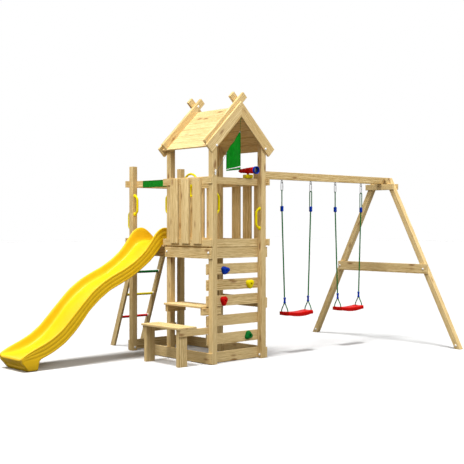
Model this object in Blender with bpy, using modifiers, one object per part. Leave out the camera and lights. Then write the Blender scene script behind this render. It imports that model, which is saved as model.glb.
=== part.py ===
import math

import bmesh
import bpy
from mathutils import Matrix, Vector

for old in list(bpy.data.objects):
    bpy.data.objects.remove(old, do_unlink=True)

# Sizes in metres. The tower's own frame has its origin at the outer corner of the front left post,
# X along the front towards the swings, Y towards the slide and the ladder, Z up.
GAP = 0.0003
EASE = 0.003
NARROW = 0.0015
POST = 0.070
BAY = 0.750
POST_TOP = 2.260
BOARD = 0.022
BOARD_H = 0.120
RAIL = 0.020
RAIL_H = 0.080
RAIL_TOP_Z = 2.003
RAIL_LOW_Z = 1.305
OVERHANG = 0.046
SLAT_W = 0.140
SLAT_PITCH = 0.195
SLAT_LEFT_ENDS = (0.091, 0.044)
SLAT_RIGHT_ENDS = (0.016, 0.020)
SLAT_REAR_IN = 0.110
SLAT_Z = (RAIL_LOW_Z + 0.028, RAIL_TOP_Z + 0.070)
BASE_Z = 0.005
BASE_LEFT_END = 1.100
SIDE_BOARD_Z = 0.580
FRAME_Z = 1.170
UPPER_TOP = 1.384
DECK_TOP = 1.3103
DECK_T = 0.020
PLANKS = 12
CLIMB_Z = (0.990, 0.813, 0.634, 0.412, 0.208)

# Roof: lines z = x + rise on the left slope, mirrored on the right one.
ROOF_RISE = 2.478
ROOF_T = 0.020
EAVE_X = -0.060
ROOF_BOARDS = 6
RAFTER_TOP = ROOF_RISE + 0.057
RAFTER_LOW = ROOF_RISE - 0.118
RAFTER_TAIL = 0.110
RAFTER_T = 0.030
BATTEN_H = 0.080
BATTEN_T = 0.037
BATTEN_END = 0.5215

BENCH_X = -0.400
BENCH_LEG = 0.120
BENCH_LEG_Y = 0.0717
BENCH_BEARER = 0.0272
BENCH_BOARD = 0.120
BENCH_TOP = 0.430
BEARER_Z = (0.3325, 0.4100)
TABLE_X = -0.100
TABLE_W = 0.290
TABLE_SLOT = 0.006
TABLE_BEARER = 0.0497
TABLE_TOP = 0.644
TABLE_BEARER_Z = (0.543, 0.624)

LADDER_SIDES = (0.030, 0.158)
STRINGER = 0.032
STRINGER_W = 0.0782
LADDER_REACH = 0.477
LADDER_LEAN = 0.386
RUNG_Z = (0.370, 0.660, 0.950)
RUNG_R = 0.0135

SLIDE_SIDE = 0.090
SLIDE_WALL = 0.032

BEAM_PAST = 0.197
BEAM_H = 0.090
BEAM_LOW = RAIL_TOP_Z + RAIL_H + 0.002
BEAM_Z = (BEAM_LOW, BEAM_LOW + BEAM_H)
TRESTLE_AT = 3.065
TRESTLE_LEG = 0.070
TRESTLE_Y = 0.105
TRESTLE_SPREAD = 1.200
TRESTLE_SLOPE = 0.508
TRESTLE_TOP = BEAM_Z[1] - 0.010
LEG_HALF = 0.0393
COLLAR_Y = (-0.115, 0.347)
COLLAR_H = 0.075
CROSSBAR_Y = (-0.655, 0.835)
CROSSBAR_Z = (0.918, 1.040)
BRACE_T = 0.025

HOOK_Z = BEAM_Z[0] - 0.025
SWING_X = (1.442, 2.402)
HOOK_SPAN = 0.505
ROPE_SPAN = 0.410
SEAT_L = 0.430
SEAT_W = 0.160
SEAT_H = 0.036
FORK = 0.052
SEAT_TOP = 0.500
HOOK_LOW = 0.108
ADJUST = (0.354, 0.289)
SLEEVE = (0.100, 0.172)

HANDLE_H = 0.270
HANDLE_OUT = 0.066
HANDLE_Z = (1.785, 1.620, 1.597)
WHEEL_OUT = 0.063
WHEEL_BACK = 0.200
WHEEL_Z = RAIL_TOP_Z + 0.044
WHEEL_R = 0.140
SCOPE_IN = (0.140, 0.081)
SCOPE_BASE = 0.042
SCOPE_PIVOT = 0.0247
SCOPE_UP = 0.088
STRIP_ENDS = (0.085, 0.115)
FLAG_W = 0.207
FLAG_H = 0.430
FLAG_DROP = 0.170
FLAG_SLANT = 0.254
CLEAT_DROP = 0.192
CLEAT_H = 0.083

W = 2 * POST + (BAY - POST)
INNER = POST + GAP
SPAN = BAY - GAP
MIDDLE_X = W / 2
LADDER_FOOT = 2 * BAY + POST + LADDER_REACH
TRESTLE_X = (TRESTLE_AT, TRESTLE_AT + TRESTLE_LEG)
TABLE_BOARD = (TABLE_W - TABLE_SLOT) / 2
WHEEL_AT = (W - WHEEL_OUT, 2 * BAY - WHEEL_BACK, WHEEL_Z)
SLIDE_Y = (BAY + POST + SLIDE_SIDE, 2 * BAY - SLIDE_SIDE)
STRIP_Y = (BAY + POST + STRIP_ENDS[0], 2 * BAY - STRIP_ENDS[1])
LADDER_X = (POST + LADDER_SIDES[0], BAY - LADDER_SIDES[1])
SCOPE_AT = (BAY - SCOPE_IN[0], SCOPE_IN[1])
CLEAT_Z = (RAFTER_LOW - CLEAT_DROP - CLEAT_H, RAFTER_LOW - CLEAT_DROP)
SLAT_REAR = BAY - SLAT_REAR_IN
slat_first = POST + SLAT_LEFT_ENDS[0]
slat_last = BAY - SLAT_LEFT_ENDS[1] - SLAT_W
SLATS_LEFT = (slat_first, (slat_first + slat_last) / 2, slat_last)
SLATS_RIGHT = [POST + SLAT_RIGHT_ENDS[0] + count * SLAT_PITCH for count in (0, 1, 2)]
SLATS_RIGHT += [2 * BAY - SLAT_RIGHT_ENDS[1] - SLAT_W - count * SLAT_PITCH for count in (2, 1, 0)]
BEAM_END = TRESTLE_AT + BEAM_PAST
X_MIN, X_MAX = -1.845, BEAM_END
Y_MIN = TRESTLE_Y - TRESTLE_SPREAD - LEG_HALF
Y_MAX = LADDER_FOOT + STRINGER_W
SHIFT = Vector((-(X_MIN + X_MAX) / 2, -(Y_MIN + Y_MAX) / 2, 0))

scene = bpy.context.scene
part = bpy.data.collections.new("play_tower_with_slide_and_swings")
tools = bpy.data.collections.new("cutters")
scene.collection.children.link(part)
scene.collection.children.link(tools)
tools.hide_render = True


def colour(name, rgb, roughness, metallic=0.0):
    made = bpy.data.materials.new(name)
    made.use_nodes = True
    shader = made.node_tree.nodes["Principled BSDF"]
    shader.inputs["Base Color"].default_value = (*rgb, 1)
    shader.inputs["Roughness"].default_value = roughness
    shader.inputs["Metallic"].default_value = metallic
    return made


pine = colour("pine", (0.66, 0.45, 0.22), 0.7)
pine_dark = colour("pine in shade", (0.48, 0.30, 0.13), 0.75)
yellow = colour("yellow plastic", (0.95, 0.66, 0.02), 0.35)
red = colour("red plastic", (0.75, 0.02, 0.01), 0.35)
blue = colour("blue plastic", (0.01, 0.05, 0.60), 0.35)
green = colour("green plastic", (0.02, 0.35, 0.06), 0.4)
green_rope = colour("green rope", (0.06, 0.25, 0.09), 0.85)
green_cloth = colour("green cloth", (0.01, 0.22, 0.03), 0.8)
white = colour("white plastic", (0.85, 0.85, 0.83), 0.4)
steel = colour("zinc steel", (0.60, 0.60, 0.62), 0.35, 1.0)


def keep(name, mesh, at, material, helper=False):
    obj = bpy.data.objects.new(name, mesh)
    obj.location = Vector(at) + SHIFT
    mesh.materials.append(material)
    (tools if helper else part).objects.link(obj)
    obj.hide_render = helper
    if helper:
        obj.display_type = "WIRE"
    return obj


def solidified(name, source, turn=None):
    """The mesh of a temporary object, its loose caps welded and all its faces outwards."""
    scene.collection.objects.link(source)
    graph = bpy.context.evaluated_depsgraph_get()
    mesh = bpy.data.meshes.new_from_object(source.evaluated_get(graph))
    data = source.data
    bpy.data.objects.remove(source)
    if isinstance(data, bpy.types.Mesh):
        bpy.data.meshes.remove(data)
    if turn:
        mesh.transform(turn)
    bm = bmesh.new()
    bm.from_mesh(mesh)
    bmesh.ops.remove_doubles(bm, verts=bm.verts, dist=0.00002)
    bmesh.ops.recalc_face_normals(bm, faces=bm.faces)
    bm.to_mesh(mesh)
    bm.free()
    mesh.name = name
    mesh.materials.clear()
    return mesh


def eased(obj, ease, segments=1, angle=30):
    if ease:
        bevel = obj.modifiers.new("eased edges", "BEVEL")
        bevel.width = ease
        bevel.segments = segments
        bevel.limit_method = "ANGLE"
        bevel.angle_limit = math.radians(angle)
    return obj


def board(name, x, y, z, material, ease=EASE, helper=False):
    """A sawn timber between three pairs of limits."""
    size = [b - a for a, b in (x, y, z)]
    bm = bmesh.new()
    bmesh.ops.create_cube(bm, size=1, matrix=Matrix.Diagonal((*size, 1)))
    mesh = bpy.data.meshes.new(name)
    bm.to_mesh(mesh)
    bm.free()
    return eased(keep(name, mesh, [(a + b) / 2 for a, b in (x, y, z)], material, helper), ease)


AXES = {
    "X": Matrix(((0, 0, 1, 0), (1, 0, 0, 0), (0, 1, 0, 0), (0, 0, 0, 1))),
    "Y": Matrix(((1, 0, 0, 0), (0, 0, 1, 0), (0, 1, 0, 0), (0, 0, 0, 1))),
    "Z": Matrix.Identity(4),
}


def plate(name, outline, axis, limits, material, ease=EASE, helper=False, segments=1, angle=30):
    """A flat outline pushed out along an axis: (y, z) points on X, (x, z) on Y and (x, y) on Z."""
    low = [min(p[i] for p in outline) for i in (0, 1)]
    high = [max(p[i] for p in outline) for i in (0, 1)]
    mid = Vector(((low[0] + high[0]) / 2, (low[1] + high[1]) / 2, sum(limits) / 2))
    curve = bpy.data.curves.new(name, "CURVE")
    curve.dimensions = "2D"
    curve.fill_mode = "BOTH"
    curve.extrude = (limits[1] - limits[0]) / 2
    spline = curve.splines.new("POLY")
    spline.points.add(len(outline) - 1)
    for point, (u, v) in zip(spline.points, outline):
        point.co = (u - mid[0], v - mid[1], 0, 1)
    spline.use_cyclic_u = True
    mesh = solidified(name, bpy.data.objects.new("outline", curve), AXES[axis])
    at = AXES[axis] @ mid
    return eased(keep(name, mesh, at, material, helper), ease, segments, angle)


def tube(name, points, radius, material, at=(0, 0, 0), ring=False, helper=False, sides=2):
    """A round bar or rope along the points, which are measured from its own origin."""
    curve = bpy.data.curves.new(name, "CURVE")
    curve.dimensions = "3D"
    curve.bevel_depth = radius
    curve.bevel_resolution = sides
    curve.use_fill_caps = not ring
    spline = curve.splines.new("POLY")
    spline.points.add(len(points) - 1)
    for point, place in zip(spline.points, points):
        point.co = (*place, 1)
    spline.use_cyclic_u = ring
    mesh = solidified(name, bpy.data.objects.new("route", curve))
    for face in mesh.polygons:
        face.use_smooth = True
    return keep(name, mesh, at, material, helper)


def turned(name, profile, axis, at, material, helper=False, steps=20):
    """A round piece: (distance along the axis, radius) points from one end to the other."""
    mesh = bpy.data.meshes.new("profile")
    rows = [(r, 0, d) for d, r in profile]
    mesh.from_pydata(rows, [(i, i + 1) for i in range(len(rows) - 1)], [])
    source = bpy.data.objects.new("profile", mesh)
    screw = source.modifiers.new("turn", "SCREW")
    screw.steps = screw.render_steps = steps
    screw.use_merge_vertices = True
    screw.merge_threshold = 0.0001
    mesh = solidified(name, source, AXES[axis])
    for face in mesh.polygons:
        face.use_smooth = True
    return keep(name, mesh, at, material, helper)


def combine(host, others, operation="UNION"):
    for other in others:
        fit = host.modifiers.new(other.name, "BOOLEAN")
        fit.operation = operation
        fit.solver = "EXACT"
        fit.object = other
    return host


def flowing(points, steps=3):
    """More points along a smooth line through the given ones."""
    ends = [points[0], *points, points[-1]]
    made = []
    for a, b, c, d in zip(ends, ends[1:], ends[2:], ends[3:]):
        for i in range(steps):
            t = i / steps
            made.append(tuple(
                0.5 * (2 * q + (r - p) * t + (2 * p - 5 * q + 4 * r - s) * t * t
                       + (3 * q - p - 3 * r + s) * t ** 3)
                for p, q, r, s in zip(a, b, c, d)))
    return made + [points[-1]]


def mirrored(outline):
    return [(W - x, z) for x, z in outline]


def side(a, b):
    return sorted((W - a, W - b))


# Posts: six square uprights. The four under the roof are cut to its slope.
def post(name, x, y, top):
    if top:
        return board(name, (x, x + POST), (y, y + POST), (0, top), pine)
    under = ROOF_RISE - ROOF_T * math.sqrt(2) - 2 * GAP
    outline = [(0, 0), (POST, 0), (POST, POST + under), (0, under)]
    if x:
        outline = mirrored(outline)
    return plate(name, outline, "Y", (y, y + POST), pine)


post("post_front_left", 0, 0, None)
post("post_front_right", BAY, 0, None)
post("post_middle_left", 0, BAY, None)
post("post_middle_right", BAY, BAY, None)
post("post_rear_left", 0, 2 * BAY, POST_TOP)
post("post_rear_right", BAY, 2 * BAY, POST_TOP)

# Front: boards on the inner side of the two front posts.
front = (INNER, INNER + BOARD)
board("base_board_front", (0, W), front, (BASE_Z, BASE_Z + BOARD_H), pine)
for count, z in enumerate(CLIMB_Z, 1):
    board(f"climbing_board_{count}", (-0.02, W), front, (z, z + BOARD_H), pine)
frame_board = board("deck_edge_front", (0, W), front, (FRAME_Z, FRAME_Z + BOARD_H), pine)
toe = board("toe_board", (0, W), (front[0], front[1]), (FRAME_Z + BOARD_H - 0.002, UPPER_TOP),
            pine, EASE, True)
combine(frame_board, [toe])
board("top_rail_front", (0, W), (INNER, INNER + RAIL), (RAIL_TOP_Z, RAIL_TOP_Z + RAIL_H), pine)

# Outer sides: a base board and a deck-edge board on the outer faces of the posts.
left = (-GAP - BOARD, -GAP)
right = (W + GAP, W + GAP + BOARD)
rear = 2 * BAY + POST + GAP
board("base_board_left", left, (0, BASE_LEFT_END), (BASE_Z, BASE_Z + BOARD_H), pine)
board("deck_edge_left", left, (0, W + 0.008), (FRAME_Z, FRAME_Z + BOARD_H - 0.002), pine)
board("base_board_right", right, (0, rear - GAP), (BASE_Z, BASE_Z + BOARD_H), pine_dark)
board("deck_edge_right", right, (0, rear - GAP), (FRAME_Z, FRAME_Z + BOARD_H - 0.002), pine_dark)
board("side_board_right", right, (0, W), (SIDE_BOARD_Z, SIDE_BOARD_Z + BOARD_H), pine_dark)
board("base_board_rear", (0, W), (rear, rear + BOARD), (BASE_Z, BASE_Z + BOARD_H), pine_dark)
board("deck_edge_rear", (0, W), (rear, rear + BOARD), (FRAME_Z, FRAME_Z + BOARD_H), pine_dark)
board("top_rail_slide", (INNER, INNER + RAIL), (BAY - 0.04, rear - GAP),
      (RAIL_TOP_Z, RAIL_TOP_Z + RAIL_H), pine)

# Slatted side panels: two rails with slats on their outer faces, held together as one panel.

def panel(name, axis, face, run, slats, material):
    """face is the outer face of the posts and the way out from it, run the rails' two ends."""
    at, out = face
    rails = sorted((at + out * GAP, at + out * (GAP + RAIL)))
    skin = sorted((at + out * (GAP + RAIL - 0.001), at + out * (GAP + RAIL + BOARD)))
    low = (RAIL_LOW_Z, RAIL_LOW_Z + RAIL_H - 0.002)
    top = (RAIL_TOP_Z, RAIL_TOP_Z + RAIL_H)
    pieces = []
    for z in (low, top):
        pieces.append((run, rails, z))
    for start in slats:
        pieces.append(((start, start + SLAT_W), skin, SLAT_Z))
    made = []
    for count, (along, thick, z) in enumerate(pieces):
        limits = (thick, along, z) if axis == "X" else (along, thick, z)
        label = name if count == 0 else f"{name}_piece_{count}"
        made.append(board(label, *limits, material, EASE, count > 0))
    return combine(made[0], made[2:] + made[1:2])


panel("slat_panel_left", "X", (0, -1), (0, W + OVERHANG), SLATS_LEFT, pine)
panel("slat_panel_right", "X", (W, 1), (-OVERHANG, rear - GAP),
      SLATS_RIGHT, pine_dark)
panel("slat_panel_rear", "Y", (rear - GAP, 1), (-OVERHANG, W), (SLAT_REAR,), pine_dark)

# Deck: planks across two joists, notched round the posts.
deck = board("deck", (INNER, INNER + BOARD), (front[1] + GAP, rear - GAP),
             (FRAME_Z, FRAME_Z + BOARD_H + 0.002), pine)
joist = board("joist_right", side(INNER, INNER + BOARD), (front[1] + GAP, rear - GAP),
              (FRAME_Z, FRAME_Z + BOARD_H + 0.002), pine, EASE, True)
run = rear - front[1] - 2 * GAP
plank_w = (run + 0.005) / PLANKS
plank = board("plank", (GAP, W - GAP),
              (front[1] + GAP, front[1] + GAP + plank_w - 0.005),
              (DECK_TOP - DECK_T, DECK_TOP), pine, 0.0, True)
row = plank.modifiers.new("row", "ARRAY")
row.count = PLANKS
row.use_relative_offset = False
row.use_constant_offset = True
row.constant_offset_displace = (0, plank_w, 0)
notches = []
for x in (0, BAY):
    for y in (BAY, 2 * BAY):
        notches.append(board(f"notch_{x:.0f}_{y:.0f}", (x - 0.01 if x == 0 else x - GAP,
                       x + POST + GAP if x == 0 else x + POST + 0.01),
                       (y - GAP, y + POST + (0.01 if y > BAY else GAP)), (1.2, 1.4), pine, 0.0, True))
combine(combine(deck, [plank, joist]), notches, "DIFFERENCE")

# Roof: six boards a side with two battens across them, between a pair of rafters at each gable.
C = 1 / math.sqrt(2)


def slope(name, flip, shift):
    """A slope's boards and battens, drawn for the left side and mirrored for the right one."""
    along = (MIDDLE_X - EAVE_X) / C
    step = along / ROOF_BOARDS
    turn = mirrored if flip else list
    pieces = []
    for count in range(ROOF_BOARDS):
        a = count * step
        b = a + step - 0.003
        x0, x1 = EAVE_X + a * C, EAVE_X + b * C
        outline = [(x0, x0 + ROOF_RISE), (x0 + ROOF_T * C, x0 + ROOF_RISE - ROOF_T * C),
                   (x1 + ROOF_T * C, x1 + ROOF_RISE - ROOF_T * C), (x1, x1 + ROOF_RISE)]
        if count == ROOF_BOARDS - 1:
            x1 = MIDDLE_X - GAP
            outline[2:] = [(x1, x1 + ROOF_RISE - 2 * ROOF_T * C), (x1, x1 + ROOF_RISE)]
        pieces.append(plate(f"{name}_board_{count}", turn(outline), "Y", (GAP, W - GAP), pine,
                            0.002, True))
    rise = ROOF_RISE - 0.0015
    batten = [(EAVE_X, EAVE_X + rise), (BATTEN_END, BATTEN_END + rise),
              (BATTEN_END - BATTEN_H * C, BATTEN_END + rise + BATTEN_H * C),
              (EAVE_X - BATTEN_H * C, EAVE_X + rise + BATTEN_H * C)]
    front_y = GAP + shift
    back_y = W - GAP - BATTEN_T - (0.038 - shift)
    host = plate(name, turn(batten), "Y", (front_y, front_y + BATTEN_T), pine)
    other = plate(f"{name}_batten_rear", turn(batten), "Y", (back_y, back_y + BATTEN_T), pine,
                  EASE, True)
    return combine(host, pieces + [other])


slope("roof_slope_left", False, 0.0)
slope("roof_slope_right", True, 0.038)
heel = (RAFTER_TOP - RAFTER_LOW) / 2 - RAFTER_TAIL
gable = [(-RAFTER_TAIL, RAFTER_TOP - RAFTER_TAIL), (heel, RAFTER_LOW + heel),
         (MIDDLE_X, RAFTER_LOW + MIDDLE_X)]
gable += mirrored(gable[1::-1]) + [(MIDDLE_X, RAFTER_TOP + MIDDLE_X)]
plate("rafters_front", gable, "Y", (-GAP - RAFTER_T, -GAP), pine)
plate("rafters_rear", gable, "Y", (W + GAP, W + GAP + RAFTER_T), pine)

# Bench and table: both stand between the two left posts on pairs of bearers.
def standing(name, x, y, z, helper=True):
    """One timber of the bench or the table, and its twin as far from the other post."""
    twin = (BAY + POST - y[1], BAY + POST - y[0])
    return [board(f"{name}_rear", x, twin, z, pine, NARROW, True), board(name, x, y, z, pine, NARROW, helper)]


bearer_y = (INNER, INNER + BENCH_BEARER)
leg_y = (bearer_y[1] - 0.002, INNER + BENCH_LEG_Y)
seat_z = (BENCH_TOP - BOARD, BENCH_TOP)
leg_rear, bench = standing("bench", (BENCH_X, BENCH_X + BENCH_LEG), leg_y, (0, BENCH_TOP - 0.020), False)
seat_x = (BENCH_X - 0.020, BENCH_X + BENCH_BOARD - 0.010)
boards = [board(f"bench_seat_{x:.2f}", (x, x + BENCH_BOARD), (POST - 0.002, BAY + 0.002), seat_z, pine,
                NARROW, True) for x in seat_x]
combine(bench, standing("bench_bearer", (BENCH_X, POST), bearer_y, BEARER_Z)[::-1] + boards + [leg_rear])
table_x = (TABLE_X + 0.025, TABLE_X + TABLE_W)
far, table = standing("table", table_x, (INNER, INNER + TABLE_BEARER), TABLE_BEARER_Z, False)
tops = [board(f"table_top_{x:.2f}", (x, x + TABLE_BOARD), (front[1] + GAP, SPAN),
              (TABLE_TOP - BOARD, TABLE_TOP), pine, NARROW, True)
        for x in (TABLE_X, TABLE_X + TABLE_W - TABLE_BOARD)]
combine(table, tops + [far])

# Ladder: two leaning stringers and three round rungs in sockets.
top_z = DECK_TOP - 0.01


def lean(z):
    return LADDER_FOOT - LADDER_LEAN * z


face_y = rear + BOARD + GAP
stringer = [(lean(0), 0), (lean(0) + STRINGER_W, 0), (lean(top_z) + STRINGER_W, top_z),
            (face_y, top_z), (face_y, (LADDER_FOOT - face_y) / LADDER_LEAN)]
plate("ladder_stringer_left", stringer, "X", (LADDER_X[0], LADDER_X[0] + STRINGER), pine)
plate("ladder_stringer_right", stringer, "X", (LADDER_X[1] - STRINGER, LADDER_X[1]), pine)
half = (LADDER_X[1] - LADDER_X[0]) / 2 - STRINGER - GAP
for name, z, paint in zip(("rung_low", "rung_middle", "rung_high"), RUNG_Z, (red, yellow, green)):
    turned(name, [(-half, 0), (-half, 0.022), (0.007 - half, 0.022), (0.013 - half, RUNG_R),
                  (half - 0.013, RUNG_R), (half - 0.007, 0.022), (half, 0.022), (half, 0)],
           "X", (sum(LADDER_X) / 2, lean(z) + STRINGER_W / 2, z), paint)

# Slide: a moulded trough with raised sides, a hooked top end and a foot box.
RIM = [(-1.833, 0.172), (-1.710, 0.224), (-1.589, 0.274), (-1.465, 0.335), (-1.340, 0.426),
       (-1.213, 0.557), (-1.083, 0.691), (-0.951, 0.821), (-0.817, 0.913), (-0.681, 0.983),
       (-0.542, 1.043), (-0.401, 1.121), (-0.257, 1.231), (-0.155, 1.350), (-0.081, 1.458),
       (-0.006, 1.508), (0.054, 1.520), (0.114, 1.506), (0.191, 1.444), (0.237, 1.394)]
KEEL = [(-0.024, 1.255), (-0.096, 1.180), (-0.169, 1.112), (-0.312, 1.012), (-0.454, 0.925),
        (-0.592, 0.863), (-0.728, 0.802), (-0.863, 0.708), (-0.994, 0.594), (-1.123, 0.438),
        (-1.187, 0.367), (-1.312, 0.258), (-1.436, 0.184), (-1.557, 0.131)]
BED = [(0.300, 1.345), (0.060, 1.345), (-0.010, 1.322), (-0.130, 1.215), (-0.200, 1.150),
       (-0.340, 1.048), (-0.478, 0.963), (-0.613, 0.903), (-0.751, 0.840), (-0.891, 0.744),
       (-1.028, 0.622), (-1.155, 0.472), (-1.220, 0.399), (-1.338, 0.294), (-1.456, 0.222),
       (-1.575, 0.172), (-1.700, 0.148), (-1.900, 0.138)]
foot = [(-1.618, 0.118), (-1.638, 0.0), (-1.750, 0.0), (-1.815, 0.105), (-1.845, 0.140)]
hook = [(0.237, DECK_TOP + GAP), (-0.004, DECK_TOP + GAP), (-0.004, 1.288)]
slide = plate("slide", flowing(RIM, 2) + hook + flowing(KEEL, 2) + foot, "Y", SLIDE_Y, yellow, 0.0)
channel = plate("slide_channel", flowing(BED, 2) + [(-1.9, 1.7), (0.3, 1.7)], "Y",
                (SLIDE_Y[0] + SLIDE_WALL, SLIDE_Y[1] - SLIDE_WALL), yellow, 0.0, True)
combine(slide, [channel], "DIFFERENCE")

# Climbing holds on the front boards.
def hold(name, x, z, paint, size, turn, hole):
    """A rounded three-sided grip. turn is the way one of its corners points, in degrees."""
    outline = []
    for step in range(24):
        a = math.tau * step / 24
        r = 1 + 0.15 * math.cos(3 * (a - math.radians(turn)))
        outline.append((x + size[0] * r * math.cos(a), z + size[1] * r * math.sin(a)))
    made = plate(name, outline, "Y", (POST - 0.038, POST), paint, 0.009, segments=2, angle=40)
    if hole:
        combine(made, [turned(name + "_hole", [(-0.04, 0), (-0.04, hole), (0.04, hole), (0.04, 0)],
                              "Y", (x, POST - 0.02, z), paint, True, 12)], "DIFFERENCE")
    return made


hold("hold_blue", POST + 0.167, CLIMB_Z[0] + 0.048, blue, (0.056, 0.042), 12, 0)
hold("hold_yellow", BAY - 0.127, CLIMB_Z[1] + 0.061, yellow, (0.052, 0.046), 30, 0.012)
hold("hold_red", POST + 0.152, CLIMB_Z[2] + 0.067, red, (0.044, 0.050), 30, 0)
hold("hold_green", BAY - 0.151, CLIMB_Z[4] + 0.062, green, (0.050, 0.045), 100, 0.013)


# Handles: bars with slanted ends and a round foot at each end, screwed to the posts.
def handle(name, at, out):
    """out is the way off the post: a pair of X and Y parts."""
    h, d = HANDLE_H / 2 - 0.022, HANDLE_OUT - 0.0135
    path = [(0.003, h), (0.018, h), (d - 0.006, h - 0.032), (d, h - 0.047)]
    path += [(u, -v) for u, v in reversed(path)]
    bar = tube(name, [(out[0] * u, out[1] * u, v) for u, v in path], 0.0135, yellow, at, sides=2)
    feet = []
    axis = "X" if out[0] else "Y"
    sign = out[0] + out[1]
    for z in (h, -h):
        profile = [(0, 0), (0, 0.024), (0.005 * sign, 0.024), (0.010 * sign, 0.016), (0.010 * sign, 0)]
        feet.append(turned(f"{name}_foot", profile, axis, (at[0], at[1], at[2] + z), yellow, True, 16))
    return combine(bar, feet)


handle("handle_slide_left", (POST / 2, 2 * BAY - GAP, HANDLE_Z[0]), (0, -1))
handle("handle_slide_right", (POST / 2, BAY + POST + GAP, HANDLE_Z[0]), (0, 1))
handle("handle_ladder_left", (POST / 2, 2 * BAY + POST + GAP, HANDLE_Z[2]), (0, 1))
handle("handle_front_left", (POST + GAP, POST / 2, HANDLE_Z[0]), (1, 0))
handle("handle_front_right", (BAY - GAP, POST / 2, HANDLE_Z[1]), (-1, 0))

# Steering wheel on the right top rail, turning about its shaft along X.
x, y, z = WHEEL_AT
wheel = turned("steering_wheel", [(-0.018, 0), (-0.018, 0.030), (-0.012, 0.042), (0.012, 0.042),
               (0.018, 0.020), (W - x - 0.004, 0.020), (W - x, 0.018), (W - x, 0)],
               "X", (x, y, z), yellow, steps=20)
circle = [math.tau * i / 32 for i in range(32)]
rim = tube("wheel_rim", [(0, WHEEL_R * math.cos(a), WHEEL_R * math.sin(a)) for a in circle], 0.0145,
           yellow, WHEEL_AT, True, True)
spokes = []
for count, degrees in enumerate((270, 30, 150)):
    a = math.radians(degrees)
    spokes.append(tube(f"wheel_spoke_{count}", [(0, r * math.cos(a), r * math.sin(a))
                       for r in (0.020, WHEEL_R)], 0.0125, yellow, WHEEL_AT, False, True))
combine(wheel, [rim, *spokes])

# Telescope: a slotted block that turns on the front top rail, and a tapering tube whose lug tilts in it.
x, y = SCOPE_AT
rail_z = RAIL_TOP_Z + RAIL_H + GAP
scope_z = rail_z + SCOPE_UP
pivot_z = rail_z + SCOPE_PIVOT
base = board("telescope_base", (x - 0.050, x + 0.050), (y - 0.035, y + 0.035), (rail_z, rail_z + SCOPE_BASE),
             yellow, 0.006)
base.data.transform(Matrix.Translation((0, 0, SCOPE_BASE / 2)))
base.location.z -= SCOPE_BASE / 2
slot = board("telescope_slot", (x - 0.0085, x + 0.0085), (y - 0.025, y + 0.025),
             (pivot_z - 0.0145, rail_z + SCOPE_BASE + 0.01), yellow, 0.0, True)
combine(base, [slot], "DIFFERENCE")
scope = turned("telescope", [(-0.151, 0), (-0.151, 0.0395), (-0.128, 0.0395), (-0.127, 0.0365), (0.105, 0.0190),
               (0.108, 0.0215), (0.122, 0.0215), (0.124, 0.0150), (0.149, 0.0130), (0.149, 0)],
               "Y", (x, y, scope_z), red, steps=24)
bore = turned("telescope_bore", [(-0.160, 0), (-0.160, 0.033), (-0.130, 0.031), (-0.112, 0.026),
              (-0.112, 0)], "Y", (x, y, scope_z), red, True, 24)
lug = board("telescope_lug", (x - 0.008, x + 0.008), (y - 0.012, y + 0.012), (pivot_z, scope_z - 0.010), red,
            0.0, True)
knuckle = turned("telescope_knuckle", [(-0.008, 0), (-0.008, 0.012), (0.008, 0.012), (0.008, 0)], "X",
                 (x, y, pivot_z), red, True, 24)
combine(combine(scope, [lug, knuckle]), [bore], "DIFFERENCE")

# Swing beam on the tower and the trestle at its far end.
eyes = []
beam = board("swing_beam", (BAY, BEAM_END), (INNER, INNER + POST), BEAM_Z, pine, 0.004)
hook_xs = [middle + s * HOOK_SPAN / 2 for middle in SWING_X for s in (-1, 1)]
ring = [math.tau * i / 16 for i in range(16)]
for count, x in enumerate(hook_xs):
    eyes.append(turned(f"eye_shank_{count}", [(0, 0), (0, 0.005), (0.020, 0.005), (0.020, 0)], "Z",
                       (x, TRESTLE_Y, BEAM_Z[0] - 0.014), steel, True, 10))
    eyes.append(tube(f"eye_ring_{count}", [(0, 0.014 * math.cos(a), 0.014 * math.sin(a)) for a in ring],
                     0.004, steel, (x, TRESTLE_Y, HOOK_Z), True, True, 1))
combine(beam, eyes)


def leg(sign):
    spread = [(TRESTLE_SPREAD + LEG_HALF, 0), (TRESTLE_SPREAD - LEG_HALF, 0)]
    up = TRESTLE_SLOPE * TRESTLE_TOP
    spread += [(TRESTLE_SPREAD - LEG_HALF - up, TRESTLE_TOP), (TRESTLE_SPREAD + LEG_HALF - up, TRESTLE_TOP)]
    return [(TRESTLE_Y + sign * y, z) for y, z in spread]


trestle = plate("trestle", leg(1), "X", TRESTLE_X, pine, 0.004)
brace = (TRESTLE_X[0] - BRACE_T, TRESTLE_X[0] + 0.002)
combine(trestle, [
    board("trestle_collar", brace, COLLAR_Y, (BEAM_Z[0] - GAP - COLLAR_H, BEAM_Z[0] - GAP), pine,
          EASE, True),
    board("trestle_crossbar", brace, CROSSBAR_Y, CROSSBAR_Z, pine, EASE, True),
    board("trestle_collar_rear", (TRESTLE_X[1] - 0.002, TRESTLE_X[1] + BRACE_T), COLLAR_Y,
          (BEAM_Z[0] - GAP - COLLAR_H, BEAM_Z[0] - GAP), pine, EASE, True),
    plate("trestle_leg_front", leg(-1), "X", TRESTLE_X, pine, 0.004, True),
])


# Swings: each hangs from two eyes and swings about the line through them.
def stadium(half_width, top, bottom, steps=4):
    turn = [math.pi * i / (2 * steps) for i in range(2 * steps + 1)]
    upper = [(half_width * math.cos(a), top - half_width + half_width * math.sin(a)) for a in turn]
    lower = [(-half_width * math.cos(a), bottom + half_width - half_width * math.sin(a)) for a in turn]
    return upper + lower


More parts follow.
